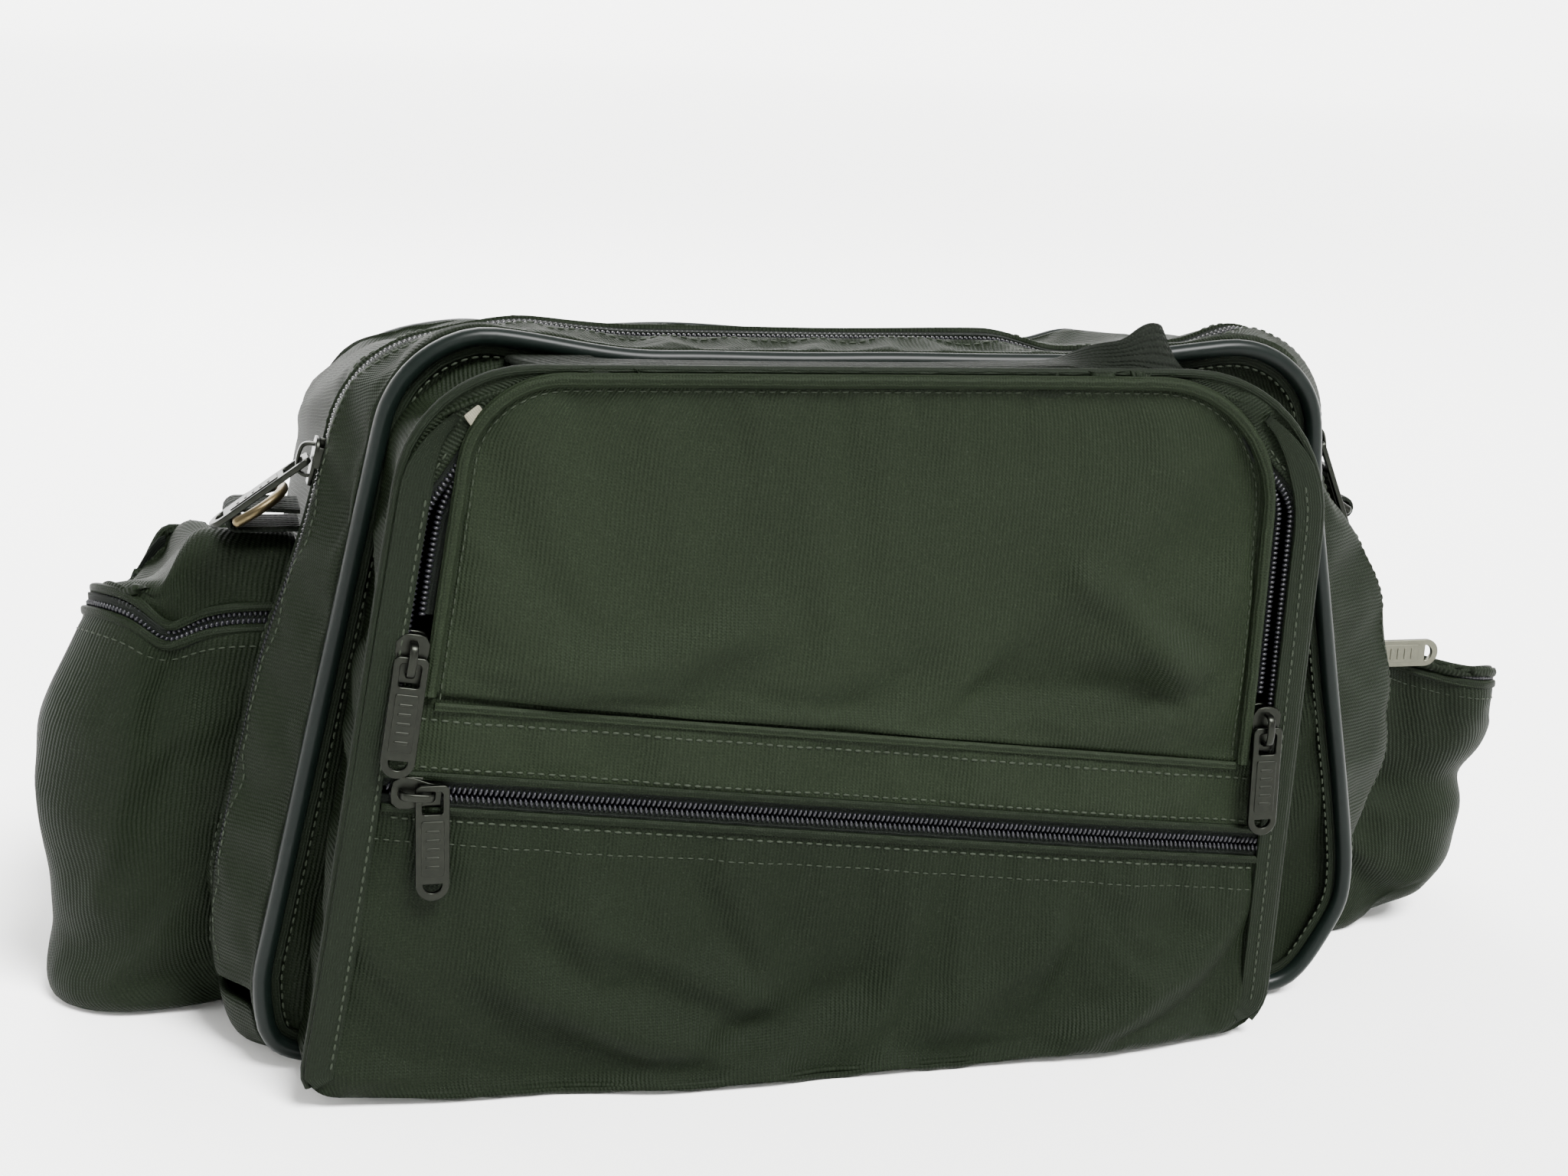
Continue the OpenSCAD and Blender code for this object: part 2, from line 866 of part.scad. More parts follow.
// Webbing loop lying along -Y from its pivot line, which is the X axis
module webbing_loop(half_span, leg) {
    color(webbing_colour) {
        for (side = [-1, 1]) {
            translate([side * half_span - webbing_width / 2, -leg - 1, -webbing_thickness / 2])
                cube([webbing_width, leg + 1 + webbing_thickness / 2, webbing_thickness]);
        }
        translate([-half_span - webbing_width / 2, -leg - grip_width, -grip_thickness / 2])
            cube([2 * half_span + webbing_width, grip_width, grip_thickness]);
    }
}

module front_handle() {
    translate([0, handle_pivot_y, handle_pivot_z])
        webbing_loop(front_handle_half, front_leg);
}

// ---------- flap, which folds down about its bottom seam ----------

// Height above the seam at which the flap's own chain starts
flap_chain_foot = 22;

module flap_panel() {
    color(fabric_colour)
        intersection() {
            slab(pocket_face_y, pocket_face_y + pocket_wall,
                inset_outline(flap_corners, flap_radii, -flap_piping_r));
            above_seam(gap / 2);
        }
}

module flap_piping() {
    // the roll stops above the seam, to let the flap fold right down
    foot = 9;
    left_foot = flap_corners[0] + foot * unit(flap_corners[3] - flap_corners[0]);
    right_foot = flap_corners[1] + [0, foot];
    left_tangent = corner_middle(flap_corners, 3, flap_radii[3])
        + flap_radii[3] * [-cos(flap_left_lean), sin(flap_left_lean)];
    right_tangent = corner_middle(flap_corners, 2, flap_radii[2]) + [flap_radii[2], 0];
    y = pocket_face_y - flap_piping_r;
    color(fabric_colour) {
        piping(flap_corners, flap_radii, flap_piping_r, y, 2, 3, false);
        straight_tube(right_foot, right_tangent, flap_piping_r, y);
        straight_tube(left_foot, left_tangent, flap_piping_r, y);
    }
}

module flap_zip_inner_tape() {
    color(lining_colour)
        intersection() {
            edge_band(pocket_zip_y - tape_thickness / 2, pocket_zip_y + tape_thickness / 2,
                flap_corners, flap_radii, flap_piping_r, flap_piping_r + tape_width);
            above_seam(flap_chain_foot);
        }
}

module flap_zip_inner_coil() {
    color(coil_colour)
        intersection() {
            edge_band(pocket_zip_y - coil_thickness / 2, pocket_zip_y + coil_thickness / 2,
                flap_corners, flap_radii, flap_piping_r + tape_width,
                flap_piping_r + tape_width + coil_width);
            above_seam(flap_chain_foot);
        }
}

// ---------- sliders and pulls ----------

main_left_pull_lift = 42;
main_right_pull_lift = 12;

module metal_slider() {
    color(metal_colour)
        slider();
}

// A pull on a slider's bar, lifted off the chain by an angle
module metal_pull(lift) {
    color(metal_colour)
        translate([0, -bar_out, 0])
            rotate([-lift, 0, 0])
                pull();
}

module flap_left_slider() on_flap_left() metal_slider();
module flap_left_pull() on_flap_left() metal_pull(0);
module flap_right_slider() on_flap_right() metal_slider();
module flap_right_pull() on_flap_right() metal_pull(0);
module lower_slider() on_lower_zip() metal_slider();
module main_left_slider() on_main_left(main_left_slider_z) metal_slider();
module main_left_pull() on_main_left(main_left_slider_z) metal_pull(main_left_pull_lift);
module main_right_slider() mirror([1, 0, 0]) on_main_left(main_right_slider_z) metal_slider();
module main_right_pull()
    mirror([1, 0, 0]) on_main_left(main_right_slider_z) metal_pull(main_right_pull_lift);
module left_pocket_slider() on_left_pocket() metal_slider();
module right_pocket_slider() on_right_pocket() metal_slider();
module right_pocket_pull() on_right_pocket() metal_pull(0);

// This pull hangs from one leg of its slider's bridge
module lower_pull() {
    leg_out = (bridge_length + 1.4) / 2;
    bar_above = 1.5 + pull_bar / 2;
    color(metal_colour)
        translate([lower_slider_x + leg_out * cos(seam_slope), pocket_zip_y - bar_out,
            lower_zip_z(lower_slider_x) - leg_out * sin(seam_slope) + bar_above])
            pull();
}

// This one hangs down from the outer leg of its slider's bridge
module left_pocket_pull() {
    leg_out = (bridge_length + 1.4) / 2;
    bar_above = bridge_width / 2 + 0.5 + pull_bar / 2;
    color(metal_colour)
        translate([left_pocket_slider_x - leg_out,
            end_pocket_rear_y - pocket_wall / 2 + bar_out, left_zip_z + bar_above])
            pull();
}

// ---------- rear handle ----------

rear_pivot_y = back_y + webbing_thickness + turning_room;
rear_pivot_z = 184;
rear_leg = 34;

module rear_handle_anchors() {
    patch_height = 16;
    color(webbing_colour)
        for (side = [-1, 1]) {
            translate([side * rear_handle_half - webbing_width / 2, back_y,
                rear_pivot_z - patch_height / 2])
                cube([webbing_width, webbing_thickness, patch_height]);
        }
}

module rear_handle() {
    translate([0, rear_pivot_y, rear_pivot_z])
        rotate([90, 0, 0])
            webbing_loop(rear_handle_half, rear_leg);
}

back_panel();
rear_gusset();
base_board();
rear_piping();
main_zip_rear_tape();
main_zip_rear_coil();
left_pocket_shell();
right_pocket_shell();
left_pocket_coil();
right_pocket_coil();
left_strap_lug();
right_strap_lug();
rear_handle_anchors();
front_panel();
front_gusset();
front_piping();
main_zip_front_tape();
main_zip_front_coil();
pocket_gusset();
pocket_frame();
pocket_bindings();
pocket_divider();
pocket_band();
lower_panel();
lower_zip_tapes();
lower_zip_coil();
flap_zip_outer_tape();
flap_zip_outer_coil();
pocket_label();
front_handle_anchors();
flap_panel();
flap_piping();
flap_zip_inner_tape();
flap_zip_inner_coil();
flap_left_slider();
flap_left_pull();
flap_right_slider();
flap_right_pull();
lower_slider();
lower_pull();
main_left_slider();
main_left_pull();
main_right_slider();
main_right_pull();
left_pocket_lid();
right_pocket_lid();
left_lid_coil();
right_lid_coil();
left_pocket_slider();
left_pocket_pull();
right_pocket_slider();
right_pocket_pull();
left_strap_ring();
right_strap_ring();
front_handle();
rear_handle();
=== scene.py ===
import json
import math
from functools import partial

import bmesh
import bpy
import numpy as np
from mathutils import Matrix, Vector
from mathutils.bvhtree import BVHTree


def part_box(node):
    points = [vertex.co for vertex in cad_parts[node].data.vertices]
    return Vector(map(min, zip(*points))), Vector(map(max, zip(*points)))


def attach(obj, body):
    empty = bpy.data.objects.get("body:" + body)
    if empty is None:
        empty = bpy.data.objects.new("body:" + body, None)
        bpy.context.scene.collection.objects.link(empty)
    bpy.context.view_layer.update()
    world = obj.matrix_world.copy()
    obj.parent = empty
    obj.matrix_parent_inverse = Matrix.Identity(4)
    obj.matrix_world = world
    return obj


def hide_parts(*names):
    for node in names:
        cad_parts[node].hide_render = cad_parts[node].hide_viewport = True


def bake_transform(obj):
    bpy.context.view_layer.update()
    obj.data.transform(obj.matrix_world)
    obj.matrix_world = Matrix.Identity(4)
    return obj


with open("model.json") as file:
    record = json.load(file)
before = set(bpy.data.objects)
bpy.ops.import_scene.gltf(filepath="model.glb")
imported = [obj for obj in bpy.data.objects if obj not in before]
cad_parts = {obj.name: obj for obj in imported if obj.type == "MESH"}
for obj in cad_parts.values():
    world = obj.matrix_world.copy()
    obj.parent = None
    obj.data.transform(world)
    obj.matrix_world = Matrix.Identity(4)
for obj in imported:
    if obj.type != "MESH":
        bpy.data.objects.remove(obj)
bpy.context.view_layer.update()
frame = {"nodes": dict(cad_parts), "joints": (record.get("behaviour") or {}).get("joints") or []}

JOINTS = {j["name"]: j for j in frame["joints"]}

# Shape of the sewn bag, in millimetres, in the part's own frame
BASE_HALF = 184.5
TOP_HALF = 137.0
HEIGHT = 219.0
LEAN = math.atan((BASE_HALF - TOP_HALF) / HEIGHT)
FRONT_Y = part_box("front_panel")[0].y * 1000
BACK_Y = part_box("back_panel")[1].y * 1000
BACK_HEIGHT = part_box("back_panel")[1].z * 1000
STRIP_END_Y = -62.0
ZIP_MIDDLE_Y = -56.8
ZIP_END_Y = -51.6
ZIP_FOOT_Z = 24.0
CHAIN_INSET = 1.2
WALL = 2.4
POCKET_CLOTH = 1.8
BAG_RADII = (28, 28, 34, 34)
BAG_STEPS = (70, 40, 60, 40)
FACE_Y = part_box("lower_panel")[0].y * 1000
POCKET_RADII = (8, 14, 46, 36)
POCKET_CORNERS = ((-166, 1.5), (132, 1.5), (134, 211), (-134, 211))
POCKET_STEPS = (70, 44, 60, 44)
SEAM_SLOPE = math.radians(6.5)
SEAM_MIDDLE_Z = 105.0
ZIP_DROP = 26.0
ZIP_EDGE = 5.2
ZIP_RIGHT = 127
FLAP_RIGHT = 115.0
FLAP_TOP = 208.0
FLAP_LEFT_TOP = -117.5
FLAP_LEFT_FOOT = -130.0
FLAP_RADII = (0.01, 0.01, 38, 26)
END_FRONT_Y, END_REAR_Y, END_R = -40.0, 60.0, 28.0

STITCH_PITCH = 3.0
TOOTH_PITCH = 1.5
FRONT, REAR = (0, -1, 0), (0, 1, 0)
BAR_HEIGHT = 0.0041  # a pull's bar above the middle of its slider, in metres

# Folds of the slack cloth: start (x, z), end (x, z), width, depth
PANEL_FOLDS = (
    ((-126, 44), (-26, 3), 8, 6.0), ((-108, 62), (-20, 20), 6, 4.6), ((-60, 8), (12, 34), 7, -4.6),
    ((14, 10), (70, 50), 8, 5.2), ((56, 2), (120, 36), 7, 4.6), ((-104, 68), (14, 60), 6, -3.0),
    ((24, 62), (112, 40), 7, -3.2), ((-60, 62), (-16, 44), 6, -2.6))
FLAP_FOLDS = (
    ((56, 158), (98, 120), 6, 3.4), ((62, 132), (106, 118), 7, 3.4), ((-104, 124), (-30, 140), 8, 4.4),
    ((-40, 196), (50, 186), 9, -1.0), ((-110, 150), (-70, 196), 10, -1.0),
    ((70, 184), (106, 150), 8, -1.2), ((-20, 112), (20, 128), 8, -2.4))

# Rows of an end pocket's floor as (inset, height), and of its lid as (inset, drop below its top)
END_FLOOR = ((49.95, 1.4), (44, 1.4), (34, 1.2), (22, 1.0), (12, 1.0), (5, 1.6), (1.5, 3.2))
END_LID = ((1.2, 2.6), (4, 0.6), (9, 0), (18, 0.4), (27, 0.8), (36, 1.2), (44, 1.5), (49.95, 1.6))


# ---------- small maths ----------

def unit(v):
    v = np.asarray(v, float)
    return v / np.maximum(np.linalg.norm(v, axis=-1, keepdims=True), 1e-12)


def smooth(t):
    t = np.clip(t, 0, 1)
    return t * t * (3 - 2 * t)


def hump(t, start, full, fade, end):
    """0 before start, 1 from full to fade, 0 after end."""
    return smooth((t - start) / (full - start)) * smooth((end - t) / (end - fade))


def ripple(p, size, seed):
    """A smooth seeded field of bumps about size millimetres across, from about -1 to 1."""
    rng = np.random.default_rng(seed)
    total = np.zeros(p.shape[:-1])
    for _ in range(8):
        way = unit(rng.normal(size=3)) * 2 * math.pi / (size * rng.uniform(0.7, 1.5))
        total += np.sin(p @ way + rng.uniform(0, 2 * math.pi))
    return total / 4


def crease(u, v, start, end, width, depth):
    """A straight fold from start to end in the u, v plane, fading at both ends."""
    start, end = np.array(start, float), np.array(end, float)
    length = np.linalg.norm(end - start)
    way = (end - start) / length
    along = (u - start[0]) * way[0] + (v - start[1]) * way[1]
    across = (u - start[0]) * way[1] - (v - start[1]) * way[0]
    fade = hump(along, -0.1 * length, 0.25 * length, 0.75 * length, 1.1 * length)
    return depth * fade * np.exp(-(across / width) ** 2)


def split(p):
    """A copy of some points, to be moved, and their x, y and z as they are."""
    p = np.array(p, float)
    return p, *np.moveaxis(p.copy(), -1, 0)


def creases(u, v, folds):
    return sum(crease(u, v, *fold) for fold in folds)


def bump_at(a, b, centre, widths):
    """A round bump of height 1 in the a, b plane."""
    return np.exp(-((a - centre[0]) / widths[0]) ** 2 - ((b - centre[1]) / widths[1]) ** 2)


def rounded_loop(corners, radii, edge_steps, arc_steps=10):
    """Closed loop of [x, z] points; edge i runs from corner i to corner i + 1."""
    corners = np.array(corners, float)
    arcs = []
    for i, (here, radius) in enumerate(zip(corners, radii)):
        back, ahead = unit(corners[i - 1] - here), unit(corners[(i + 1) % len(corners)] - here)
        half = math.acos(float(back @ ahead)) / 2
        middle = here + unit(back + ahead) * radius / math.sin(half)
        first = here + back * radius / math.tan(half) - middle
        start = math.atan2(first[1], first[0])
        angles = start + np.linspace(0, math.pi - 2 * half, arc_steps + 1)
        arcs.append(middle + radius * np.stack([np.cos(angles), np.sin(angles)], -1))
    points = []
    for arc, after, steps in zip(arcs, arcs[1:] + arcs[:1], edge_steps):
        points += [arc, np.linspace(arc[-1], after[0], steps + 1)[1:-1]]
    return np.vstack(points)


def line_length(points):
    """Distance along a line to each of its points."""
    return np.append(0, np.cumsum(np.linalg.norm(np.diff(points, axis=0), axis=1)))


def spaced(line, count):
    """The same line as a number of evenly spaced points."""
    line = np.asarray(line, float)
    run = line_length(line)
    at = np.linspace(0, run[-1], count)
    return np.stack([np.interp(at, run, column) for column in line.T], -1)


def resample(points, spacing, closed=False):
    """The same line with its points a given spacing apart."""
    points = np.asarray(points, float)
    if closed:
        points = np.vstack([points, points[:1]])
    even = spaced(points, max(2, int(round(line_length(points)[-1] / spacing)) + 1))
    return even[:-1] if closed else even


def directions(path, closed=False):
    if closed:
        return unit(np.roll(path, -1, 0) - np.roll(path, 1, 0))
    return unit(np.gradient(path, axis=0))


# ---------- the bag's shape ----------

def bag_height(y):
    t = np.clip((y - ZIP_END_Y) / (BACK_Y - ZIP_END_Y), 0, 1)
    return HEIGHT - (HEIGHT - BACK_HEIGHT) * t ** 1.35


def bag_flare(y):
    front = 10 * smooth((y - FRONT_Y) / 18)
    middle = 10 + 4 * smooth((y - ZIP_END_Y) / 70)
    t = np.clip((y - 25) / (BACK_Y - 25), 0, 1)
    rear = 14 * (1 - t * t) ** 0.7
    return front if y < STRIP_END_Y else (middle if y < 25 else rear)


def bag_loop(y, inset=0.0):
    """The bag's outline at one row, as x, y, z points, counter-clockwise from the front."""
    height, flare = float(bag_height(y)), float(bag_flare(y))
    low = BASE_HALF + flare - inset * (1 + math.sin(LEAN)) / math.cos(LEAN)
    high = low - (height - 2 * inset) * math.tan(LEAN)
    top = height - inset
    corners = [(-low, inset), (low, inset), (high, top), (-high, top)]
    loop = rounded_loop(corners, [r - inset for r in BAG_RADII], BAG_STEPS)
    return np.insert(loop, 1, float(y), axis=1)


def bag_shape(p):
    """Moves points of the plain bag to the settled, half-empty shape."""
    p, x, y, z = split(p)
    top = smooth((z - 150) / 55)
    front = smooth((-34 - y) / 40)
    dip = hump(x, -120, -62, 60, 132)
    p[..., 2] -= top * dip * (6.5 * front + 2.0 * (1 - front))
    knee = bump_at(x, y, (61, -24), (20, 16))
    p[..., 2] += top * (4.5 * knee + 1.2 * ripple(p, 60, 3) * smooth((y + 60) / 20))
    belt = hump(y, -78, -61, -40, -5)
    p[..., 0] += smooth(x / 60) * belt * 14 * hump(z, 42, 80, 128, 168)
    p[..., 0] -= smooth(-x / 60) * belt * 5 * hump(z, 20, 60, 110, 164)
    behind_piping = top * smooth((y + 80) / 16)
    p[..., 2] -= behind_piping * (5.5 * hump(x, 42, 70, 105, 128) + 5.5 * smooth((-x - 94) / 34))
    p[..., 0] += smooth(x / 60) * 7.0 * hump(y, -81, -72, -66, -56) * hump(z, 60, 110, 150, 178)
    right_top = bump_at(x, z, (130, 196), (22, 20))
    p[..., 0] += 3.0 * right_top
    left_foot = bump_at(x, z, (-176, 9), (12, 10))
    p[..., 0] -= 3.5 * left_foot
    p[..., 2] -= 4.5 * left_foot
    right_foot = bump_at(x, z, (176, 14), (24, 22))
    p[..., 0] -= 7.0 * right_foot
    p[..., 2] += 4.0 * right_foot
    rear = smooth((y + 20) / 60) * hump(z, 10, 60, 130, 190)
    p[..., 0] += np.sign(x) * rear * 2.5 * ripple(p, 70, 5)
    return p


# ---------- pocket and flap shape ----------

def seam_z(x):
    return SEAM_MIDDLE_Z - x * math.tan(SEAM_SLOPE)


def pocket_shape(p):
    """Moves points of the plain pocket to its slack shape."""
    p, x, y, z = split(p)
    out = smooth((FRONT_Y - y) / 28)
    belly = hump(z, -10, 30, 60, 100) * hump(x, -175, -90, 60, 140)
    toe = smooth((44 - z) / 44)
    p[..., 1] -= out * (2.2 * belly * (1 - toe) + toe * 3.5 * hump(x, -174, -118, -14, 10))
    p[..., 1] -= out * toe * 6.0 * hump(x, -95, -58, -28, -8)
    p[..., 1] -= out * toe * 8.0 * hump(x, -26, 8, 74, 134)
    p[..., 2] += out * toe * 2.0 * smooth((-112 - x) / 50)
    shoulder = bump_at(x, z, (-128, 182), (12, 16))
    p[..., 0] += 5 * shoulder * hump(y, -112, -98, -92, -80)
    return p


def pocket_loop(y, inset=0.0):
    corners = np.array(POCKET_CORNERS, float)
    corners += np.array([(1, 1), (-1, 1), (-1, -1), (1, -1)]) * inset
    loop = rounded_loop(corners, [r - inset for r in POCKET_RADII], POCKET_STEPS)
    return np.insert(loop, 1, float(y), axis=1)


def flap_edge(offset=0.0, y=FACE_Y):
    """The flap's edge moved outward, from the seam's left end over the top to its right end."""
    corners = [(FLAP_LEFT_FOOT, seam_z(FLAP_LEFT_FOOT)), (FLAP_RIGHT, seam_z(FLAP_RIGHT)),
               (FLAP_RIGHT, FLAP_TOP), (FLAP_LEFT_TOP, FLAP_TOP)]
    arc, bottom = 12, 40
    loop = rounded_loop(corners, FLAP_RADII, (bottom, 30, 60, 30), arc)
    path = resample(loop[2 * arc + bottom:][::-1], 2.0)
    run = directions(path)
    out = np.stack([-run[:, 1], run[:, 0]], -1)
    amount = offset(np.linspace(0, 1, len(path))) if callable(offset) else np.full(len(path), offset)
    return np.insert(path + out * amount[:, None], 1, float(y), axis=1)


# ---------- meshes ----------

def link(name, data):
    """A new object with this data, in the scene."""
    piece = bpy.data.objects.new(name, data)
    bpy.context.scene.collection.objects.link(piece)
    return piece


def shade_smooth(mesh):
    mesh.polygons.foreach_set("use_smooth", [True] * len(mesh.polygons))


def mesh_object(name, verts, faces, uvs=None):
    """A mesh from millimetre points; uvs are per face corner, in metres."""
    mesh = bpy.data.meshes.new(name)
    mesh.from_pydata((np.asarray(verts, float) / 1000).tolist(), [], faces)
    if uvs is not None:
        layer = mesh.uv_layers.new(name="weave")
        layer.data.foreach_set("uv", np.asarray(uvs, np.float32).reshape(-1))
    shade_smooth(mesh)
    mesh.update()
    return link(name, mesh)


def quads(rows, cols, loop_rows=False, loop_cols=False):
    """The four (row, column) corners of every face in a grid of points."""
    for i in range(rows if loop_rows else rows - 1):
        for j in range(cols if loop_cols else cols - 1):
            yield (i, j), (i, j + 1), (i + 1, j + 1), (i + 1, j)


def grid_object(name, points, closed=False, keep=None, flip=False):
    """A quad mesh from a rows by columns array of points, with its weave laid along it."""
    rows, cols = points.shape[:2]
    wide = np.concatenate([points, points[:, :1]], 1) if closed else points
    across = np.append(0, np.cumsum(np.linalg.norm(np.diff(wide, axis=1), axis=2), 1).mean(0))
    along = np.zeros(wide.shape[:2])
    along[1:] = np.cumsum(np.linalg.norm(np.diff(wide, axis=0), axis=2), 0)
    faces, uvs = [], []
    for corners in quads(rows, cols, loop_cols=closed):
        if keep is not None and not keep[corners[0]]:
            continue
        if flip:
            corners = corners[::-1]
        faces.append([a * cols + b % cols for a, b in corners])
        uvs.extend((across[b] / 1000, along[a, b] / 1000) for a, b in corners)
    return mesh_object(name, points.reshape(-1, 3), faces, uvs)


def drop_loose(piece):
    """Removes points that no face uses."""
    bm = bmesh.new()
    bm.from_mesh(piece.data)
    bmesh.ops.delete(bm, geom=[v for v in bm.verts if not v.link_faces], context="VERTS")
    bm.to_mesh(piece.data)
    bm.free()


def sweep(name, path, out, profile, closed=False, scale=1.0):
    """A closed skin round a path; the profile's x lies along out and its y across it."""
    count, around = len(path), len(profile)
    run = directions(path, closed)
    out = unit(out - run * np.sum(out * run, -1, keepdims=True))
    axes = np.stack([out, np.cross(run, out)], 1) * np.broadcast_to(scale, (count, 2))[..., None]
    verts = path[:, None] + profile @ axes
    length = line_length(path)
    length = np.append(length, length[-1] + np.mean(np.diff(length)))
    girth = line_length(np.vstack([profile, profile[:1]]))
    faces, uvs = [], []
    for corners in quads(count, around, closed, True):
        faces.append([(a % count) * around + b % around for a, b in corners])
        uvs.extend((girth[b] / 1000, length[a] / 1000) for a, b in corners)
    if not closed:
        last = count * around
        faces += [list(range(around)), list(range(last - 1, last - around - 1, -1))]
        uvs.extend([(0.0, 0.0)] * (2 * around))
    return mesh_object(name, verts.reshape(-1, 3), faces, uvs)


def round_profile(radius, steps=12):
    angles = np.linspace(0, 2 * math.pi, steps, endpoint=False)
    return np.stack([np.cos(angles), -np.sin(angles)], -1) * radius


def flat_profile(thick, wide, steps=20, squareness=0.35):
    """A soft-edged strip; thick lies along out and wide across it."""
    angles = np.linspace(0, 2 * math.pi, steps, endpoint=False)
    c, s = np.cos(angles), -np.sin(angles)
    return np.stack([np.sign(c) * np.abs(c) ** squareness * thick / 2,
                     np.sign(s) * np.abs(s) ** squareness * wide / 2], -1)


def beads(name, centres, run, out, size):
    """A row of small rounded pieces, size = (along run, along out, across)."""
    rings, around = 4, 6
    tilt = np.repeat(math.pi * np.arange(1, rings) / rings, around)
    turn = np.tile(2 * math.pi * np.arange(around) / around, rings - 1)
    ball = np.stack([np.sin(tilt) * np.cos(turn), np.sin(tilt) * np.sin(turn), -np.cos(tilt)], -1)
    ball = np.vstack([(0, 0, -1), ball, (0, 0, 1)])
    tip, last = len(ball) - 1, 1 + (rings - 2) * around
    faces = []
    for j in range(around):
        k = (j + 1) % around
        faces += [[0, 1 + k, 1 + j], [tip, last + j, last + k]]
        faces += [[i + j, i + k, i + k + around, i + j + around] for i in range(1, last, around)]
    run, out = (np.broadcast_to(unit(way), centres.shape) for way in (run, out))
    axes = np.stack([np.cross(run, out) * size[2], out * size[1], run * size[0]], 1) / 2
    verts = centres[:, None] + ball @ axes
    every = [[k + n * len(ball) for k in face] for n in range(len(centres)) for face in faces]
    return mesh_object(name, verts.reshape(-1, 3), every)


def join(name, pieces):
    """One object from several."""
    depsgraph = bpy.context.evaluated_depsgraph_get()
    bm = bmesh.new()
    for piece in pieces:
        mesh = bpy.data.meshes.new_from_object(piece.evaluated_get(depsgraph))
        mesh.transform(piece.matrix_world)
        bm.from_mesh(mesh)
        bpy.data.meshes.remove(mesh)
        bpy.data.objects.remove(piece, do_unlink=True)
    mesh = bpy.data.meshes.new(name)
    bm.to_mesh(mesh)
    bm.free()
    shade_smooth(mesh)
    return link(name, mesh)


def thicken(piece, amount):
    """Smooths a fabric skin and gives it its thickness, inward from its surface."""
    curve = piece.modifiers.new("smooth", "SUBSURF")
    curve.levels = curve.render_levels = 1
    wall = piece.modifiers.new("wall", "SOLIDIFY")
    wall.thickness = amount / 1000
    wall.offset = -1


def bake(piece):
    """Makes a piece's modifiers part of its mesh."""
    bpy.context.view_layer.update()
    depsgraph = bpy.context.evaluated_depsgraph_get()
    mesh = bpy.data.meshes.new_from_object(piece.evaluated_get(depsgraph))
    piece.modifiers.clear()
    piece.data = mesh


def read_points(mesh, what="co"):
    values = np.zeros(len(mesh.vertices) * 3)
    mesh.vertices.foreach_get(what, values)
    return values.reshape(-1, 3)


def write_points(mesh, points):
    mesh.vertices.foreach_set("co", points.reshape(-1))
    mesh.update()


def settle(piece, held, spare, cap, seed, sag=0.25):
    """Gives a sewn panel a little spare cloth and lets it buckle between its held points.

    spare is the share of cloth added, cap the furthest a point may move, in millimetres.
    """
    frames = 22
    start = read_points(piece.data)
    nudge = 0.0005 * ripple(start * 1000, 28, seed) + 0.0008 * ripple(start * 1000, 70, seed + 1)
    write_points(piece.data, start + read_points(piece.data, "normal") * (nudge * ~held)[:, None])
    group = piece.vertex_groups.new(name="held")
    group.add(np.flatnonzero(held).tolist(), 1.0, "REPLACE")
    cloth = piece.modifiers.new("cloth", "CLOTH")
    values = {"quality": 6, "mass": 0.12, "tension_stiffness": 12, "compression_stiffness": 12,
              "shear_stiffness": 6, "bending_stiffness": 0.6, "air_damping": 3,
              "vertex_group_mass": "held", "shrink_min": -spare}
    for name, value in values.items():
        setattr(cloth.settings, name, value)
    cloth.settings.effector_weights.gravity = sag
    cloth.point_cache.frame_start = 1
    cloth.point_cache.frame_end = frames
    scene = bpy.context.scene
    for step in range(1, frames + 1):
        scene.frame_set(step)
    settled = piece.evaluated_get(bpy.context.evaluated_depsgraph_get())
    moved = read_points(settled.to_mesh()) - start
    settled.to_mesh_clear()
    piece.modifiers.remove(cloth)
    piece.vertex_groups.remove(group)
    scene.frame_set(1)
    far = np.linalg.norm(moved, axis=1, keepdims=True)
    limit = cap / 1000
    moved *= np.minimum(1, limit * np.tanh(far / limit) / np.maximum(far, 1e-9))
    write_points(piece.data, start + moved)


def lay_on(piece, points, ways, lift):
    """Drops points onto a piece's skin from outside, along one way or one for each point."""
    outside, reach = 15, 0.06  # where each ray starts, in millimetres, and its length in metres
    bpy.context.view_layer.update()
    tree = BVHTree.FromObject(piece, bpy.context.evaluated_depsgraph_get())
    points = np.asarray(points, float)
    ways = np.broadcast_to(unit(ways), points.shape)
    laid = []
    for point, way in zip(points, ways):
        hit = tree.ray_cast(Vector((point - way * outside) / 1000), Vector(way), reach)[0]
        found = point if hit is None else np.array(hit) * 1000
        laid.append(found - way * lift)
    return np.array(laid)


# ---------- materials ----------

def add_node(material, kind, **settings):
    node = material.node_tree.nodes.new(kind)
    for name, value in settings.items():
        setattr(node, name, value)
    return node


def plain(name, colour, roughness, metallic=0.0, specular=0.5, sheen=0.0):
    material = bpy.data.materials.new(name)
    material.use_nodes = True
    shader = material.node_tree.nodes["Principled BSDF"]
    for socket, value in (("Base Color", (*colour, 1)), ("Roughness", roughness), ("Metallic", metallic),
                          ("Specular IOR Level", specular), ("Sheen Weight", sheen),
                          ("Sheen Roughness", 0.45)):
        shader.inputs[socket].default_value = value
    return material


def maths(material, operation, first, second=None):
    node = add_node(material, "ShaderNodeMath", operation=operation)
    for socket, value in zip(node.inputs, (first, second)):
        if isinstance(value, bpy.types.NodeSocket):
            material.node_tree.links.new(value, socket)
        elif value is not None:
            socket.default_value = value
    return node.outputs[0]


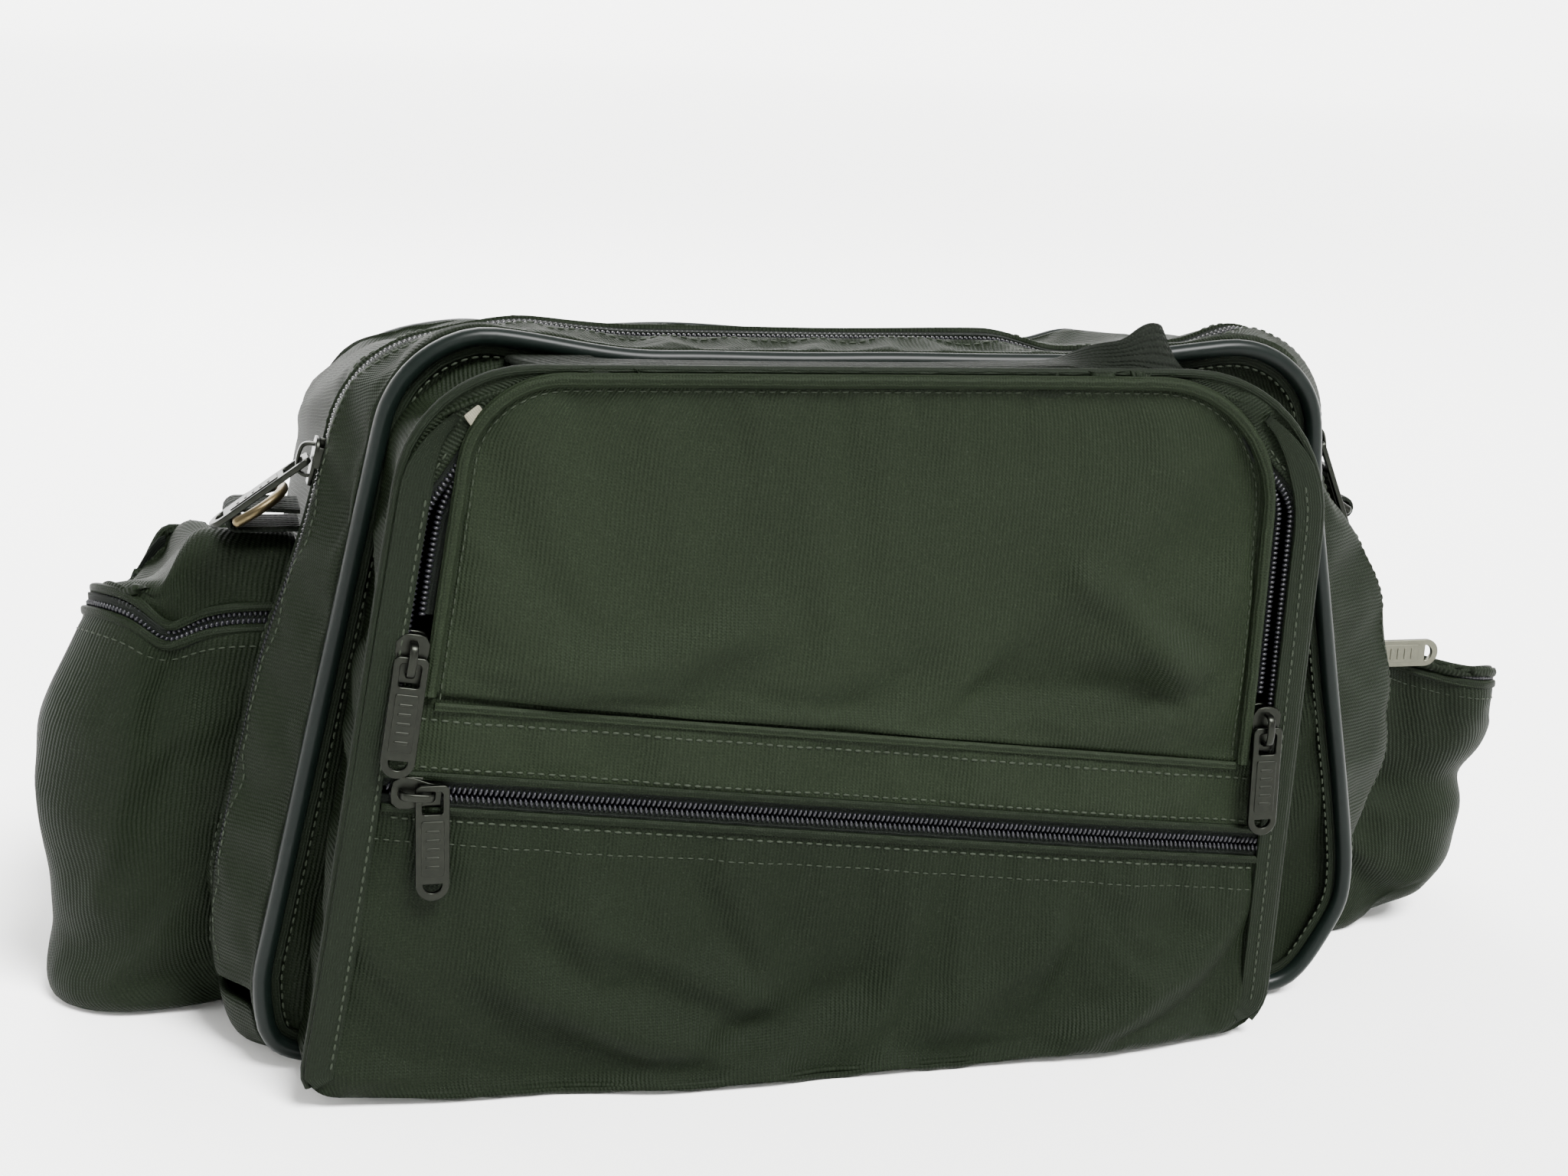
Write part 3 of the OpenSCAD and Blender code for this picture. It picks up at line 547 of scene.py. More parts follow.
def noise(material, place, scale, detail=2.0):
    node = add_node(material, "ShaderNodeTexNoise")
    node.inputs["Scale"].default_value = scale
    node.inputs["Detail"].default_value = detail
    material.node_tree.links.new(place, node.inputs["Vector"])
    return node.outputs["Fac"]


def relief_and_tone(material, height, strength, depth, factor, colour, low, high):
    """Bumps from a height in millimetres, and a tone from low to high times the colour."""
    links = material.node_tree.links
    shader = material.node_tree.nodes["Principled BSDF"]
    bump = add_node(material, "ShaderNodeBump")
    bump.inputs["Strength"].default_value = strength
    bump.inputs["Distance"].default_value = depth / 1000
    links.new(height, bump.inputs["Height"])
    links.new(bump.outputs[0], shader.inputs["Normal"])
    blend = add_node(material, "ShaderNodeMix", data_type="RGBA")
    blend.inputs[6].default_value = (*[c * low for c in colour], 1)
    blend.inputs[7].default_value = (*[c * high for c in colour], 1)
    links.new(factor, blend.inputs[0])
    links.new(blend.outputs[2], shader.inputs["Base Color"])


def woven(name, colour, rib, pick, roughness, depth, sheen=0.0, slub=0.25):
    """Ribbed cloth: rib and pick are the spacings of its threads in millimetres."""
    material = plain(name, colour, roughness, specular=0.055, sheen=sheen)
    plus, times, sine = (partial(maths, material, kind) for kind in ("ADD", "MULTIPLY", "SINE"))
    cloth = add_node(material, "ShaderNodeUVMap", uv_map="weave").outputs[0]
    sides = add_node(material, "ShaderNodeSeparateXYZ")
    material.node_tree.links.new(cloth, sides.inputs[0])
    warp = plus(sides.outputs[0], times(noise(material, cloth, 160), 0.0009))
    warp = sine(times(warp, 2000 * math.pi / rib))
    weft = sine(times(sides.outputs[1], 2000 * math.pi / pick))
    cross = times(times(warp, weft), 0.5)
    fine = times(noise(material, cloth, 900, 3), slub * 4)
    height = plus(plus(warp, cross), fine)
    where = add_node(material, "ShaderNodeNewGeometry").outputs["Position"]
    # The tone paints the hollows between threads darker and their crests lighter, which is painted shade;
    # the noise over the piece adds a random tone.
    tone = plus(times(height, 0.13), times(noise(material, where, 14, 4), 0.44))
    ramp = add_node(material, "ShaderNodeMapRange")
    ramp.inputs["From Min"].default_value = -0.1
    ramp.inputs["From Max"].default_value = 0.75
    material.node_tree.links.new(tone, ramp.inputs["Value"])
    relief_and_tone(material, height, 0.7, depth, ramp.outputs[0], colour, 0.62, 1.45)
    return material


def mottled(material, scale, depth, strength=0.4, change=0.25):
    """Adds fine wear to a plain material: small bumps and an uneven tone."""
    colour = list(material.node_tree.nodes["Principled BSDF"].inputs["Base Color"].default_value)[:3]
    wear = noise(material, add_node(material, "ShaderNodeTexCoord").outputs["Object"], scale, 5)
    relief_and_tone(material, wear, strength, depth, wear, colour, 1 - change, 1 + change)
    return material


def make_materials():
    # cloth and painted_light are shaded and lit copies of one cloth: painted light and shade.
    # painted_light is painted lighter for the flap and band, which face the light; cloth is painted darker
    # for the rest, which lies more in shade.
    cloth = (0.0036, 0.0058, 0.0026)
    painted_light = (0.0058, 0.0088, 0.0042)
    vinyl = plain("vinyl", (0.0022, 0.0040, 0.0032), 0.36, specular=0.1)
    nylon = plain("nylon_coil", (0.006, 0.006, 0.008), 0.34, specular=0.28)
    pewter = plain("pewter", (0.014, 0.015, 0.0125), 0.34, metallic=1.0)
    nickel = plain("worn_nickel", (0.085, 0.085, 0.065), 0.4, metallic=1.0)
    brass = plain("worn_brass", (0.10, 0.078, 0.042), 0.38, metallic=1.0)
    board = plain("board", (0.02, 0.02, 0.02), 0.8, specular=0.2)
    return {
        "fabric": woven("ribbed_fabric", cloth, 1.2, 0.9, 0.6, 0.17),
        "painted_light": woven("painted_light_fabric", painted_light, 1.2, 0.9, 0.6, 0.17),
        "lining": woven("zip_tape", (0.0035, 0.0045, 0.0035), 0.9, 0.7, 0.75, 0.08),
        "binding": woven("binding_tape", (0.0040, 0.0060, 0.0032), 0.8, 1.0, 0.6, 0.10),
        "webbing": woven("webbing", (0.0034, 0.0046, 0.0030), 2.4, 1.5, 0.7, 0.4, slub=0.4),
        "label": woven("label_cloth", (0.12, 0.115, 0.085), 0.6, 0.6, 0.8, 0.05, sheen=0.05),
        "vinyl": mottled(vinyl, 260, 0.05, 0.3),
        "coil": mottled(nylon, 600, 0.03),
        "metal": mottled(pewter, 500, 0.03, 0.25, 0.3),
        "pale_metal": mottled(nickel, 500, 0.03, 0.25),
        "brass": mottled(brass, 500, 0.03, 0.3),
        "board": mottled(board, 300, 0.1),
        "thread": plain("thread", (0.013, 0.0175, 0.0105), 0.6, specular=0.15),
    }


MATERIALS = make_materials()


def finish_piece(piece, material, body, *replaces):
    """Dresses a piece and hangs it on its body."""
    piece.data.materials.clear()
    piece.data.materials.append(MATERIALS[material])
    if body:
        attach(piece, body)
    if replaces:
        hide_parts(*replaces)
    return piece


def cord(name, path, out, profile, look, **settings):
    """A swept piece; look = (material, body, nodes it replaces)."""
    return finish_piece(sweep(name, path, out, profile, **settings), *look)


def stitches(name, row, out, body, size=(2.1, 0.6, 0.75)):
    finish_piece(beads(name, row, directions(row), out, size), "thread", body)


def stitch_row(name, path, out, body):
    stitches(name, resample(path, STITCH_PITCH), out, body)


def tape(name, line, out, wide, body, *nodes):
    cord(name, line, out, flat_profile(0.9, wide), ("lining", body, *nodes))


def teeth(name, line, run, out, body, *nodes):
    return finish_piece(beads(name, line, run, out, (1.0, 1.6, 2.3)), "coil", body, *nodes)


def border(points):
    """Marks the outer rows and columns of a grid of points."""
    held = np.ones(points.shape[:2], bool)
    held[1:-1, 1:-1] = False
    return held


def cloth_piece(name, points, loose, amount, look, held=None, closed=False, flip=False, sag=0.25):
    """A sewn panel; loose = (spare, cap, seed) for settle, look = (material, body, nodes it replaces)."""
    piece = grid_object(name, points, closed=closed, flip=flip)
    held = border(points) if held is None else held
    settle(piece, held.reshape(-1), *loose, sag=sag)
    thicken(piece, amount)
    return finish_piece(piece, *look)


# ---------- bag body ----------

def build_gusset():
    rows = np.concatenate([np.linspace(FRONT_Y + WALL, STRIP_END_Y, 6)[:-1],
                           np.linspace(STRIP_END_Y, ZIP_END_Y, 4)[:-1],
                           np.linspace(ZIP_END_Y, BACK_Y - 0.5, 36)])
    points = np.array([bag_loop(y) for y in rows])
    y, z = points[..., 1], points[..., 2]
    keep = (y >= ZIP_END_Y - 0.1) | (z < ZIP_FOOT_Z - 1)
    piece = grid_object("bag_gusset", bag_shape(points), closed=True, keep=keep, flip=True)
    held = (y < ZIP_END_Y + 0.1) | (y > BACK_Y - 4) | (z < 2)
    settle(piece, held.reshape(-1), spare=0.022, cap=6, seed=11)
    drop_loose(piece)
    thicken(piece, WALL)
    return finish_piece(piece, "fabric", "bag", "rear_gusset")


def coons(bottom, right, top, left, rows, cols):
    """A patch between four lines: bottom and top run left to right, the others upward."""
    s = np.linspace(0, 1, cols)[None, :, None]
    t = np.linspace(0, 1, rows)[:, None, None]
    b, u = spaced(bottom, cols)[None], spaced(top, cols)[None]
    l, r = spaced(left, rows)[:, None], spaced(right, rows)[:, None]
    corners = ((1 - s) * (1 - t) * b[:, :1] + s * (1 - t) * b[:, -1:]
               + (1 - s) * t * u[:, :1] + s * t * u[:, -1:])
    return (1 - t) * b + t * u + (1 - s) * l + s * r - corners


def loop_sides(loop, edge_steps, arc_steps=10):
    """Cuts a rounded loop at the middle of its corners: bottom, right, top, left."""
    cuts = arc_steps // 2 + np.append(0, np.cumsum(np.array(edge_steps) + arc_steps))
    bottom, right, top, left = (loop[np.arange(a, b + 1) % len(loop)] for a, b in zip(cuts, cuts[1:]))
    return bottom, right, top[::-1], left[::-1]


def build_panels():
    points = bag_shape(coons(*loop_sides(bag_loop(BACK_Y), BAG_STEPS), 50, 78))
    cloth_piece("bag_back", points, (0.012, 5, 21), WALL, ("fabric", "bag", "back_panel"), flip=True)
    points = bag_shape(coons(*loop_sides(bag_loop(FRONT_Y + 0.2), BAG_STEPS), 56, 84))
    points[..., 2] = np.maximum(points[..., 2], 0.8)
    cloth_piece("door_panel", points, (0.016, 4, 22), WALL, ("fabric", "front_door", "front_panel"))


def open_part(loop, low):
    """The stretch of a closed loop that lies above a height, from its right foot to its left."""
    above = np.flatnonzero(loop[:, 2] > low)
    first = next(k for k in above if loop[k, 0] > 0)
    order = [(first + k) % len(loop) for k in range(len(loop))]
    return loop[[k for k in order if loop[k, 2] > low]]


def outward(path, closed=False):
    """Outward normals of a path that runs counter-clockwise in a plane of constant y."""
    run = directions(path, closed)
    return unit(np.stack([run[:, 2], np.zeros(len(run)), -run[:, 0]], -1))


def build_door_edge():
    lines = [open_part(bag_loop(y), ZIP_FOOT_Z) for y in np.linspace(FRONT_Y + 0.6, STRIP_END_Y, 9)]
    shortest = min(len(line) for line in lines)
    points = bag_shape([line[:shortest] for line in lines])
    return cloth_piece("door_edge", points, (0.03, 2.5, 31), 2.0,
                       ("fabric", "front_door", "front_gusset"), flip=True)


def build_piping(name, y, body, node, inset=2.6, radius=2.7):
    """Glossy piping round one edge of the bag, its sewn lip and the stitches beside it."""
    back = 1 if y < 0 else -1
    loop = bag_shape(bag_loop(y, inset))
    loop[:, 1] = y
    loop[:, 2] = np.maximum(loop[:, 2], radius)
    loop = resample(loop, 2.2, closed=True)
    wave = ripple(loop, 45, 41)
    loop[:, 1] += 0.35 * wave
    out = outward(loop, closed=True)
    size = np.stack([1 + 0.05 * wave, 1 - 0.03 * wave], -1)
    cord(name, loop, out, round_profile(radius, 18), ("vinyl", body, node), closed=True, scale=size)
    lip = loop - out * 2.4 + np.array([0, back * 1.6, 0])
    cord(name + "_lip", lip, out, flat_profile(5.5, 1.5), ("binding", body), closed=True)
    row = loop - out * 5.6 + np.array([0, back * 0.6, 0])
    keep = row[:, 2] > 14
    first = int(np.argmax(keep & ~np.roll(keep, 1)))
    row = np.roll(row, -first, 0)[:int(keep.sum())]
    stitch_row(name + "_stitches", row, (0, -back, 0), body)


def main_zip_line(y, inset, spacing):
    """A line round the bag beside the main zip, from its right foot to its left."""
    return resample(bag_shape(open_part(bag_loop(y, inset), ZIP_FOOT_Z + 1)), spacing)


def build_main_zip(door_edge, gusset):
    """Tapes, coils and stitches round the bag between the door and the gusset."""
    for part, body, cloth, tape_y, side in (
            ("front", "front_door", door_edge, STRIP_END_Y + 2.2, -1),
            ("rear", "bag", gusset, ZIP_END_Y - 2.2, 1)):
        line = main_zip_line(tape_y, CHAIN_INSET, 3.0)
        tape(f"main_{part}_tape", line, outward(line), 6.1, body, f"main_zip_{part}_tape")
        line = main_zip_line(ZIP_MIDDLE_Y + 1.2 * side, CHAIN_INSET - 0.2, TOOTH_PITCH)
        lean = directions(line) + np.array([0, 0.35 * side, 0])
        teeth(f"main_{part}_coil", line, lean, outward(line), body, f"main_zip_{part}_coil")
        row = main_zip_line(tape_y + side * 4.5, 0.0, STITCH_PITCH)
        out = outward(row)
        stitches(f"main_{part}_stitches", lay_on(cloth, row, -out, 0.1), out, body)


# ---------- front pocket ----------

def build_pocket_wall():
    points = np.array([pocket_loop(y) for y in np.linspace(FRONT_Y - 0.2, FACE_Y + 0.8, 12)])
    y, z = points[..., 1], points[..., 2]
    held = (y > FRONT_Y - 1) | (y < FACE_Y + 1.5) | (z < 3)
    points[..., 2] -= 7.5 * smooth((z - 196) / 12) * hump(y, -112, -106, -86, -80)
    cloth_piece("pocket_wall", pocket_shape(points), (0.05, 4.5, 51), 1.6,
                ("fabric", "front_door", "pocket_gusset", "pocket_divider"), held=held, closed=True)


def pocket_edge(low, high, side, inset, y):
    """The pocket's left or right edge between two heights, from bottom to top."""
    loop = pocket_loop(y, inset)
    pick = (loop[:, 0] * side > 60) & (loop[:, 2] >= low) & (loop[:, 2] <= high)
    line = loop[pick]
    return line[np.argsort(line[:, 2])]


def between(first, second, rows, cols):
    """A patch of rows by cols points between two lines of the same direction."""
    t = np.linspace(0, 1, rows)[:, None, None]
    a, b = (spaced(resample(line, 1.0), cols)[None] for line in (first, second))
    return (1 - t) * a + t * b


def nearest(line, x, z):
    return int(np.argmin(np.abs(line[:, 0] - x) + np.abs(line[:, 2] - z)))


def stitch_on(piece, name, row, body="front_door", lift=0.15, **size):
    """Stitches laid on the front of one of the pocket's pieces."""
    row = resample(lay_on(piece, pocket_shape(row), REAR, lift), STITCH_PITCH)
    stitches(name, row, FRONT, body, **size)


def seam_line(drop, left, right, y=FACE_Y, count=120):
    x = np.linspace(left, right, count)
    return np.stack([x, np.full(count, float(y)), seam_z(x) - drop / math.cos(SEAM_SLOPE)], -1)


def pocket_left(z):
    (foot_x, foot_z), (top_x, top_z) = POCKET_CORNERS[0], POCKET_CORNERS[3]
    return foot_x + (z - foot_z) * (top_x - foot_x) / (top_z - foot_z)


def build_pocket_band():
    """The band between the two zips, with the folded hem that the flap is sewn to."""
    low = ZIP_DROP - ZIP_EDGE
    band = between(seam_line(-5.5, pocket_left(118) + 9, ZIP_RIGHT),
                   seam_line(low, pocket_left(98) + 9, ZIP_RIGHT), 12, 100)
    under_flap = smooth((seam_z(band[..., 0]) - 1.0 - band[..., 2]) / -3.5)
    band[..., 1] += 2.3 * under_flap
    held = border(band)
    held[:4] = True
    # The band is dressed in the lit copy of the cloth: painted light.
    piece = cloth_piece("pocket_band", pocket_shape(band), (0.012, 1.5, 61), POCKET_CLOTH,
                        ("painted_light", "front_door", "pocket_band"), held=held, flip=True)
    hem = pocket_shape(seam_line(1.0, FLAP_LEFT_FOOT + 1, FLAP_RIGHT - 1, FACE_Y - 0.2))
    # The hem is also in the lit copy of the cloth: painted light.
    cord("seam_fold", hem, FRONT, flat_profile(1.8, 2.6, 16, 0.6), ("painted_light", "front_door"))
    for index, drop in enumerate((5.0, low - 2.2)):
        stitch_on(piece, f"pocket_band_stitches_{index}", seam_line(drop, -138, 124, FACE_Y - 0.1))


def build_lower_panel():
    low = ZIP_DROP + ZIP_EDGE
    bottom, right, _, left = loop_sides(pocket_loop(FACE_Y), POCKET_STEPS)
    top = seam_line(low, pocket_left(84), 132.5)
    left = np.vstack([left[left[:, 2] < top[0, 2] - 1], top[:1]])
    right = np.vstack([right[right[:, 2] < top[-1, 2] - 1], top[-1:]])
    points = coons(bottom, right, top, left, 30, 92)
    x, z = points[..., 0], points[..., 2]
    inner = smooth(z / 14) * hump(x, -164, -148, 118, 131) * smooth((seam_z(x) - ZIP_DROP - 8 - z) / 24)
    points[..., 1] -= inner * creases(x, z, PANEL_FOLDS)
    piece = cloth_piece("lower_panel", pocket_shape(points), (0.022, 4, 62), POCKET_CLOTH,
                        ("fabric", "front_door", "lower_panel"), sag=0.6)
    stitch_on(piece, "lower_panel_stitches", seam_line(low + 2.6, -140, 122, FACE_Y - 0.1))
    stitch_on(piece, "lower_facing_stitches", seam_line(low + 9.5, -148, 122, FACE_Y - 0.1), lift=0.1,
              size=(1.9, 0.35, 0.45))


def build_pocket_frame():
    """The face round the flap's zip."""
    inner = flap_edge(tuck(12.0, 2.5))
    loop = pocket_loop(FACE_Y)
    first, last = (nearest(loop, x, seam_z(x)) for x in (132, -149))
    points = between(inner, loop[first:last + 1][::-1], 6, 150)
    piece = cloth_piece("pocket_frame_cloth", pocket_shape(points), (0.02, 1.4, 65), POCKET_CLOTH,
                        ("fabric", "front_door", "pocket_frame"))
    for side, name in ((-1, "left"), (1, "right")):
        straight = inner[(inner[:, 2] < 190) & (inner[:, 0] * side > 0)]
        stitch_on(piece, f"pocket_frame_stitches_{name}", straight + np.array([side * 2.6, 0, 0]))


def build_pocket_edges():
    """The bindings down both edges of the face, and the fine rim round it."""
    for side, name, aside, nodes in ((-1, "left", 2.9, ["pocket_bindings"]), (1, "right", 0.6, [])):
        line = pocket_edge(6.2, 201, side, 4.2, FACE_Y - 0.7)
        line = resample(pocket_shape(line), 3.0)
        line[:, 1] += 0.25 * ripple(line, 30, 66)
        taper = 0.2 + 0.8 * hump(line[:, 2], 4, 12, 180, 203)
        size = np.stack([0.5 + 0.5 * taper, taper], -1)
        cord(f"pocket_binding_{name}", line, FRONT, flat_profile(1.5, 8.6),
             ("binding", "front_door", *nodes), scale=size)
        row = line[(line[:, 2] > 13) & (line[:, 2] < 178)] + np.array([-side * aside, -0.85, 0])
        stitch_row(f"pocket_binding_{name}_stitches", row, FRONT, "front_door")
    rim = pocket_loop(FACE_Y + 0.6, -0.4)
    rim = rim[rim[:, 2] > 5]
    first = int(np.argmax(np.linalg.norm(np.roll(rim, -1, 0) - rim, axis=1))) + 1
    rim = resample(pocket_shape(np.roll(rim, -first, 0)), 3.0)
    cord("pocket_rim", rim, FRONT, round_profile(1.4, 10), ("binding", "front_door"))


def build_lower_zip():
    left, right = pocket_left(96) + 8, ZIP_RIGHT
    way = np.array([math.cos(SEAM_SLOPE), 0, -math.sin(SEAM_SLOPE)])
    up = np.array([math.sin(SEAM_SLOPE), 0, math.cos(SEAM_SLOPE)])
    rows = []
    for index, (side, name, nodes) in enumerate(((-1, "upper", ["lower_zip_tapes"]), (1, "lower", []))):
        line = pocket_shape(seam_line(ZIP_DROP + side * 3.6, left, right, FACE_Y + 0.9))
        tape(f"lower_tape_{name}", line, FRONT, 5.0, "front_door", *nodes)
        line = pocket_shape(seam_line(ZIP_DROP + side * 4.9, left, right, FACE_Y - 0.1))
        cord(f"lower_lip_{name}", line, FRONT, flat_profile(2.2, 2.4, squareness=0.7),
             ("fabric", "front_door"))
        line = pocket_shape(seam_line(ZIP_DROP + side * 1.15, left + 2, right - 2, FACE_Y + 0.2))
        line = resample(line, TOOTH_PITCH) + way * index * TOOTH_PITCH / 2
        rows.append(beads(f"row_{index}", line, way + up * 0.3 * side, FRONT, (1.0, 1.6, 2.6)))
    finish_piece(join("lower_coil", rows), "coil", "front_door", "lower_zip_coil")


# ---------- flap ----------

def tuck(offset, hidden=0.5):
    """The zip's distance from the flap's edge: it slips under the rolled edge at the top."""
    def at(s):
        left = smooth((0.175 - s) / 0.06)
        right = smooth((s - 0.765) / 0.05)
        return hidden + (offset - hidden) * np.maximum(left, right)
    return at


def build_flap():
    """The flap's slack panel and its rolled edge."""
    edge = flap_edge()
    corner_left, corner_right = nearest(edge, -108, 202), nearest(edge, 104, 197)
    bottom = seam_line(0.8, FLAP_LEFT_FOOT, FLAP_RIGHT)
    points = coons(bottom, edge[corner_right:][::-1], edge[corner_left:corner_right + 1],
                   edge[:corner_left + 1], 36, 80)
    x, z = points[..., 0], points[..., 2]
    bulge = hump(x, -132, -60, 60, 118) * hump(z, 95, 130, 170, 210)
    rise = (z - 116) / 42
    tent = smooth((34 * (1 - rise) + 2 - np.abs(x - 58)) / 9) * hump(rise, -0.2, 0.1, 0.8, 1.15)
    folds = tent * (11.0 * rise - 6.0) + creases(x, z, FLAP_FOLDS)
    inner = hump(x, -130, -112, 100, 114) * hump(z, 92, 112, 192, 208)
    points[..., 1] -= bulge * 2.4 + inner * folds
    # The flap panel and its rolled edge are dressed in the lit copy of the cloth: painted light.
    panel = cloth_piece("flap_panel", pocket_shape(points), (0.014, 3, 71), POCKET_CLOTH,
                        ("painted_light", "pocket_flap", "flap_panel"))
    line = resample(pocket_shape(flap_edge(0.9, FACE_Y - 1.0)), 2.0)
    line[:, 1] += 0.3 * ripple(line, 40, 72)
    # Painted light: the rolled edge uses the lit copy of the cloth.
    cord("flap_roll", line, FRONT, round_profile(2.0, 14), ("painted_light", "pocket_flap", "flap_piping"))
    stitch_on(panel, "flap_roll_stitches", flap_edge(-2.2, FACE_Y - 1.0), "pocket_flap",
              size=(2.0, 0.4, 0.5))


def build_flap_zip():
    for name, tape_at, coil_at, body, trim, depth in (
            ("inner", 3.6, 5.6, "pocket_flap", 11, FACE_Y + 2.2),
            ("outer", 11.2, 9.0, "front_door", 1, FACE_Y + 1.2)):
        line = pocket_shape(flap_edge(tuck(tape_at), depth)[trim:-trim])
        tape(f"flap_tape_{name}", line, FRONT, 4.4, body, f"flap_zip_{name}_tape")
        line = pocket_shape(flap_edge(tuck(coil_at), depth - 0.6)[trim:-trim])
        line = resample(line, TOOTH_PITCH)
        teeth(f"flap_coil_{name}", line, directions(line), FRONT, body, f"flap_zip_{name}_coil")


def build_label():
    """Corner of a woven label, just outside the flap's rolled edge."""
    low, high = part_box("pocket_label")
    centre = (low + high) * 500
    s = np.linspace(-2.5, 2.5, 6)
    grid = np.array([[(a * 0.8 - b * 0.6, 0.25 * math.sin(a), a * 0.6 + b * 0.8) for a in s] for b in s])
    piece = grid_object("label_corner", grid + np.array([centre.x + 2.0, FACE_Y - 1.0, centre.z]))
    thicken(piece, 0.5)
    finish_piece(piece, "label", "front_door", "pocket_label")


# ---------- end pockets ----------

def bag_side_x(y, z):
    """How far out the bag's plain side stands at a row and height, on the right."""
    loop = bag_loop(float(y))
    loop = loop[loop[:, 0] > 60]
    order = np.argsort(loop[:, 2])
    return float(np.interp(z, loop[order, 2], loop[order, 0]))


def end_line(reach, inset, z, count=64):
    """U-shaped line round an end pocket at one height, from the front to the back."""
    r = max(END_R - inset, 0.01)
    y0, y1, x1 = END_FRONT_Y + inset, END_REAR_Y - inset, reach - inset
    start, end = (bag_side_x(y, max(z, 3)) - 1.5 for y in (y0, y1))
    corner = np.linspace(0, math.pi / 2, 14)
    points = [(start, y0)]
    points += [(x1 - r + r * math.sin(a), y0 + r - r * math.cos(a)) for a in corner]
    points += [(x1 - r + r * math.cos(a), y1 - r + r * math.sin(a)) for a in corner]
    points.append((end, y1))
    return np.column_stack([spaced(resample(points, 1.0), count), np.full(count, float(z))])


def left_slump(p):
    """The left pocket's slack: its top leans in, its zip dips in front and its lid slopes out."""
    p, x, y, z = split(p)
    high = smooth((z - 80) / 60)
    out = smooth((x - 185) / 50)
    front = smooth((15 - y) / 55)
    p[..., 2] += high * (3.5 * out - 7.0 * front * np.exp(-((x - 203) / 13) ** 2))
    crown = smooth((z - 130) / 18)
    p[..., 2] -= crown * (16.0 * out - 7.0 * np.exp(-((x - 192) / 13) ** 2))
    p[..., 2] -= 22.0 * smooth((y + 35) / 80) * np.maximum(high * smooth((x - 200) / 28), 0.85 * crown)
    p[..., 0] -= 19.0 * smooth((z - 88) / 50) * out
    p[..., 0] -= 8.0 * hump(z, 8, 28, 40, 72) * out
    p[..., 0] += 2.6 * ripple(p, 60, 81) * out * hump(z, 6, 30, 110, 126)
    p[..., 1] -= 3.0 * front * hump(z, 4, 40, 90, 120) * hump(x, 175, 195, 225, 250)
    return p


def right_slump(p):
    """The right pocket's slack: a flat lid, and a wall that caves in under its corner."""
    p, x, y, z = split(p)
    out = smooth((x - 195) / 40)
    cave = np.exp(-((z - 57) / 7) ** 2)
    p[..., 0] += out * 6.0 * hump(z, -20, 20, 70, 95)
    p[..., 0] -= out * (3.0 * cave + 8.0 * smooth((30 - z) / 30))
    p[..., 2] += smooth((34 - z) / 34) * out * 10.0
    p[..., 2] -= 9.0 * out * smooth((z - 70) / 25)
    p[..., 2] -= smooth((z - 105) / 11) * 9.0 * smooth((50 - y) / 60)
    p[..., 2] -= 26.0 * smooth((z - 50) / 45) * smooth((y + 38) / 75)
    corner = bump_at(z, y, (97, -25), (28, 22)) * smooth((x - 208) / 25)
    p[..., 0] += 9.0 * corner
    p[..., 1] -= 11.0 * corner
    p[..., 1] += 5.0 * cave * smooth((10 - y) / 40) * hump(x, 190, 205, 235, 260)
    p[..., 0] += 2.0 * ripple(p, 50, 82) * out * hump(z, 6, 30, 80, 100)
    return p


def keep_flat(piece, y):
    """Presses the rear wall, behind a slider and its pull, back to one plane."""
    points = read_points(piece.data)
    points[:, 1] -= 0.85 * np.maximum(points[:, 1] - y / 1000, 0)
    write_points(piece.data, points)


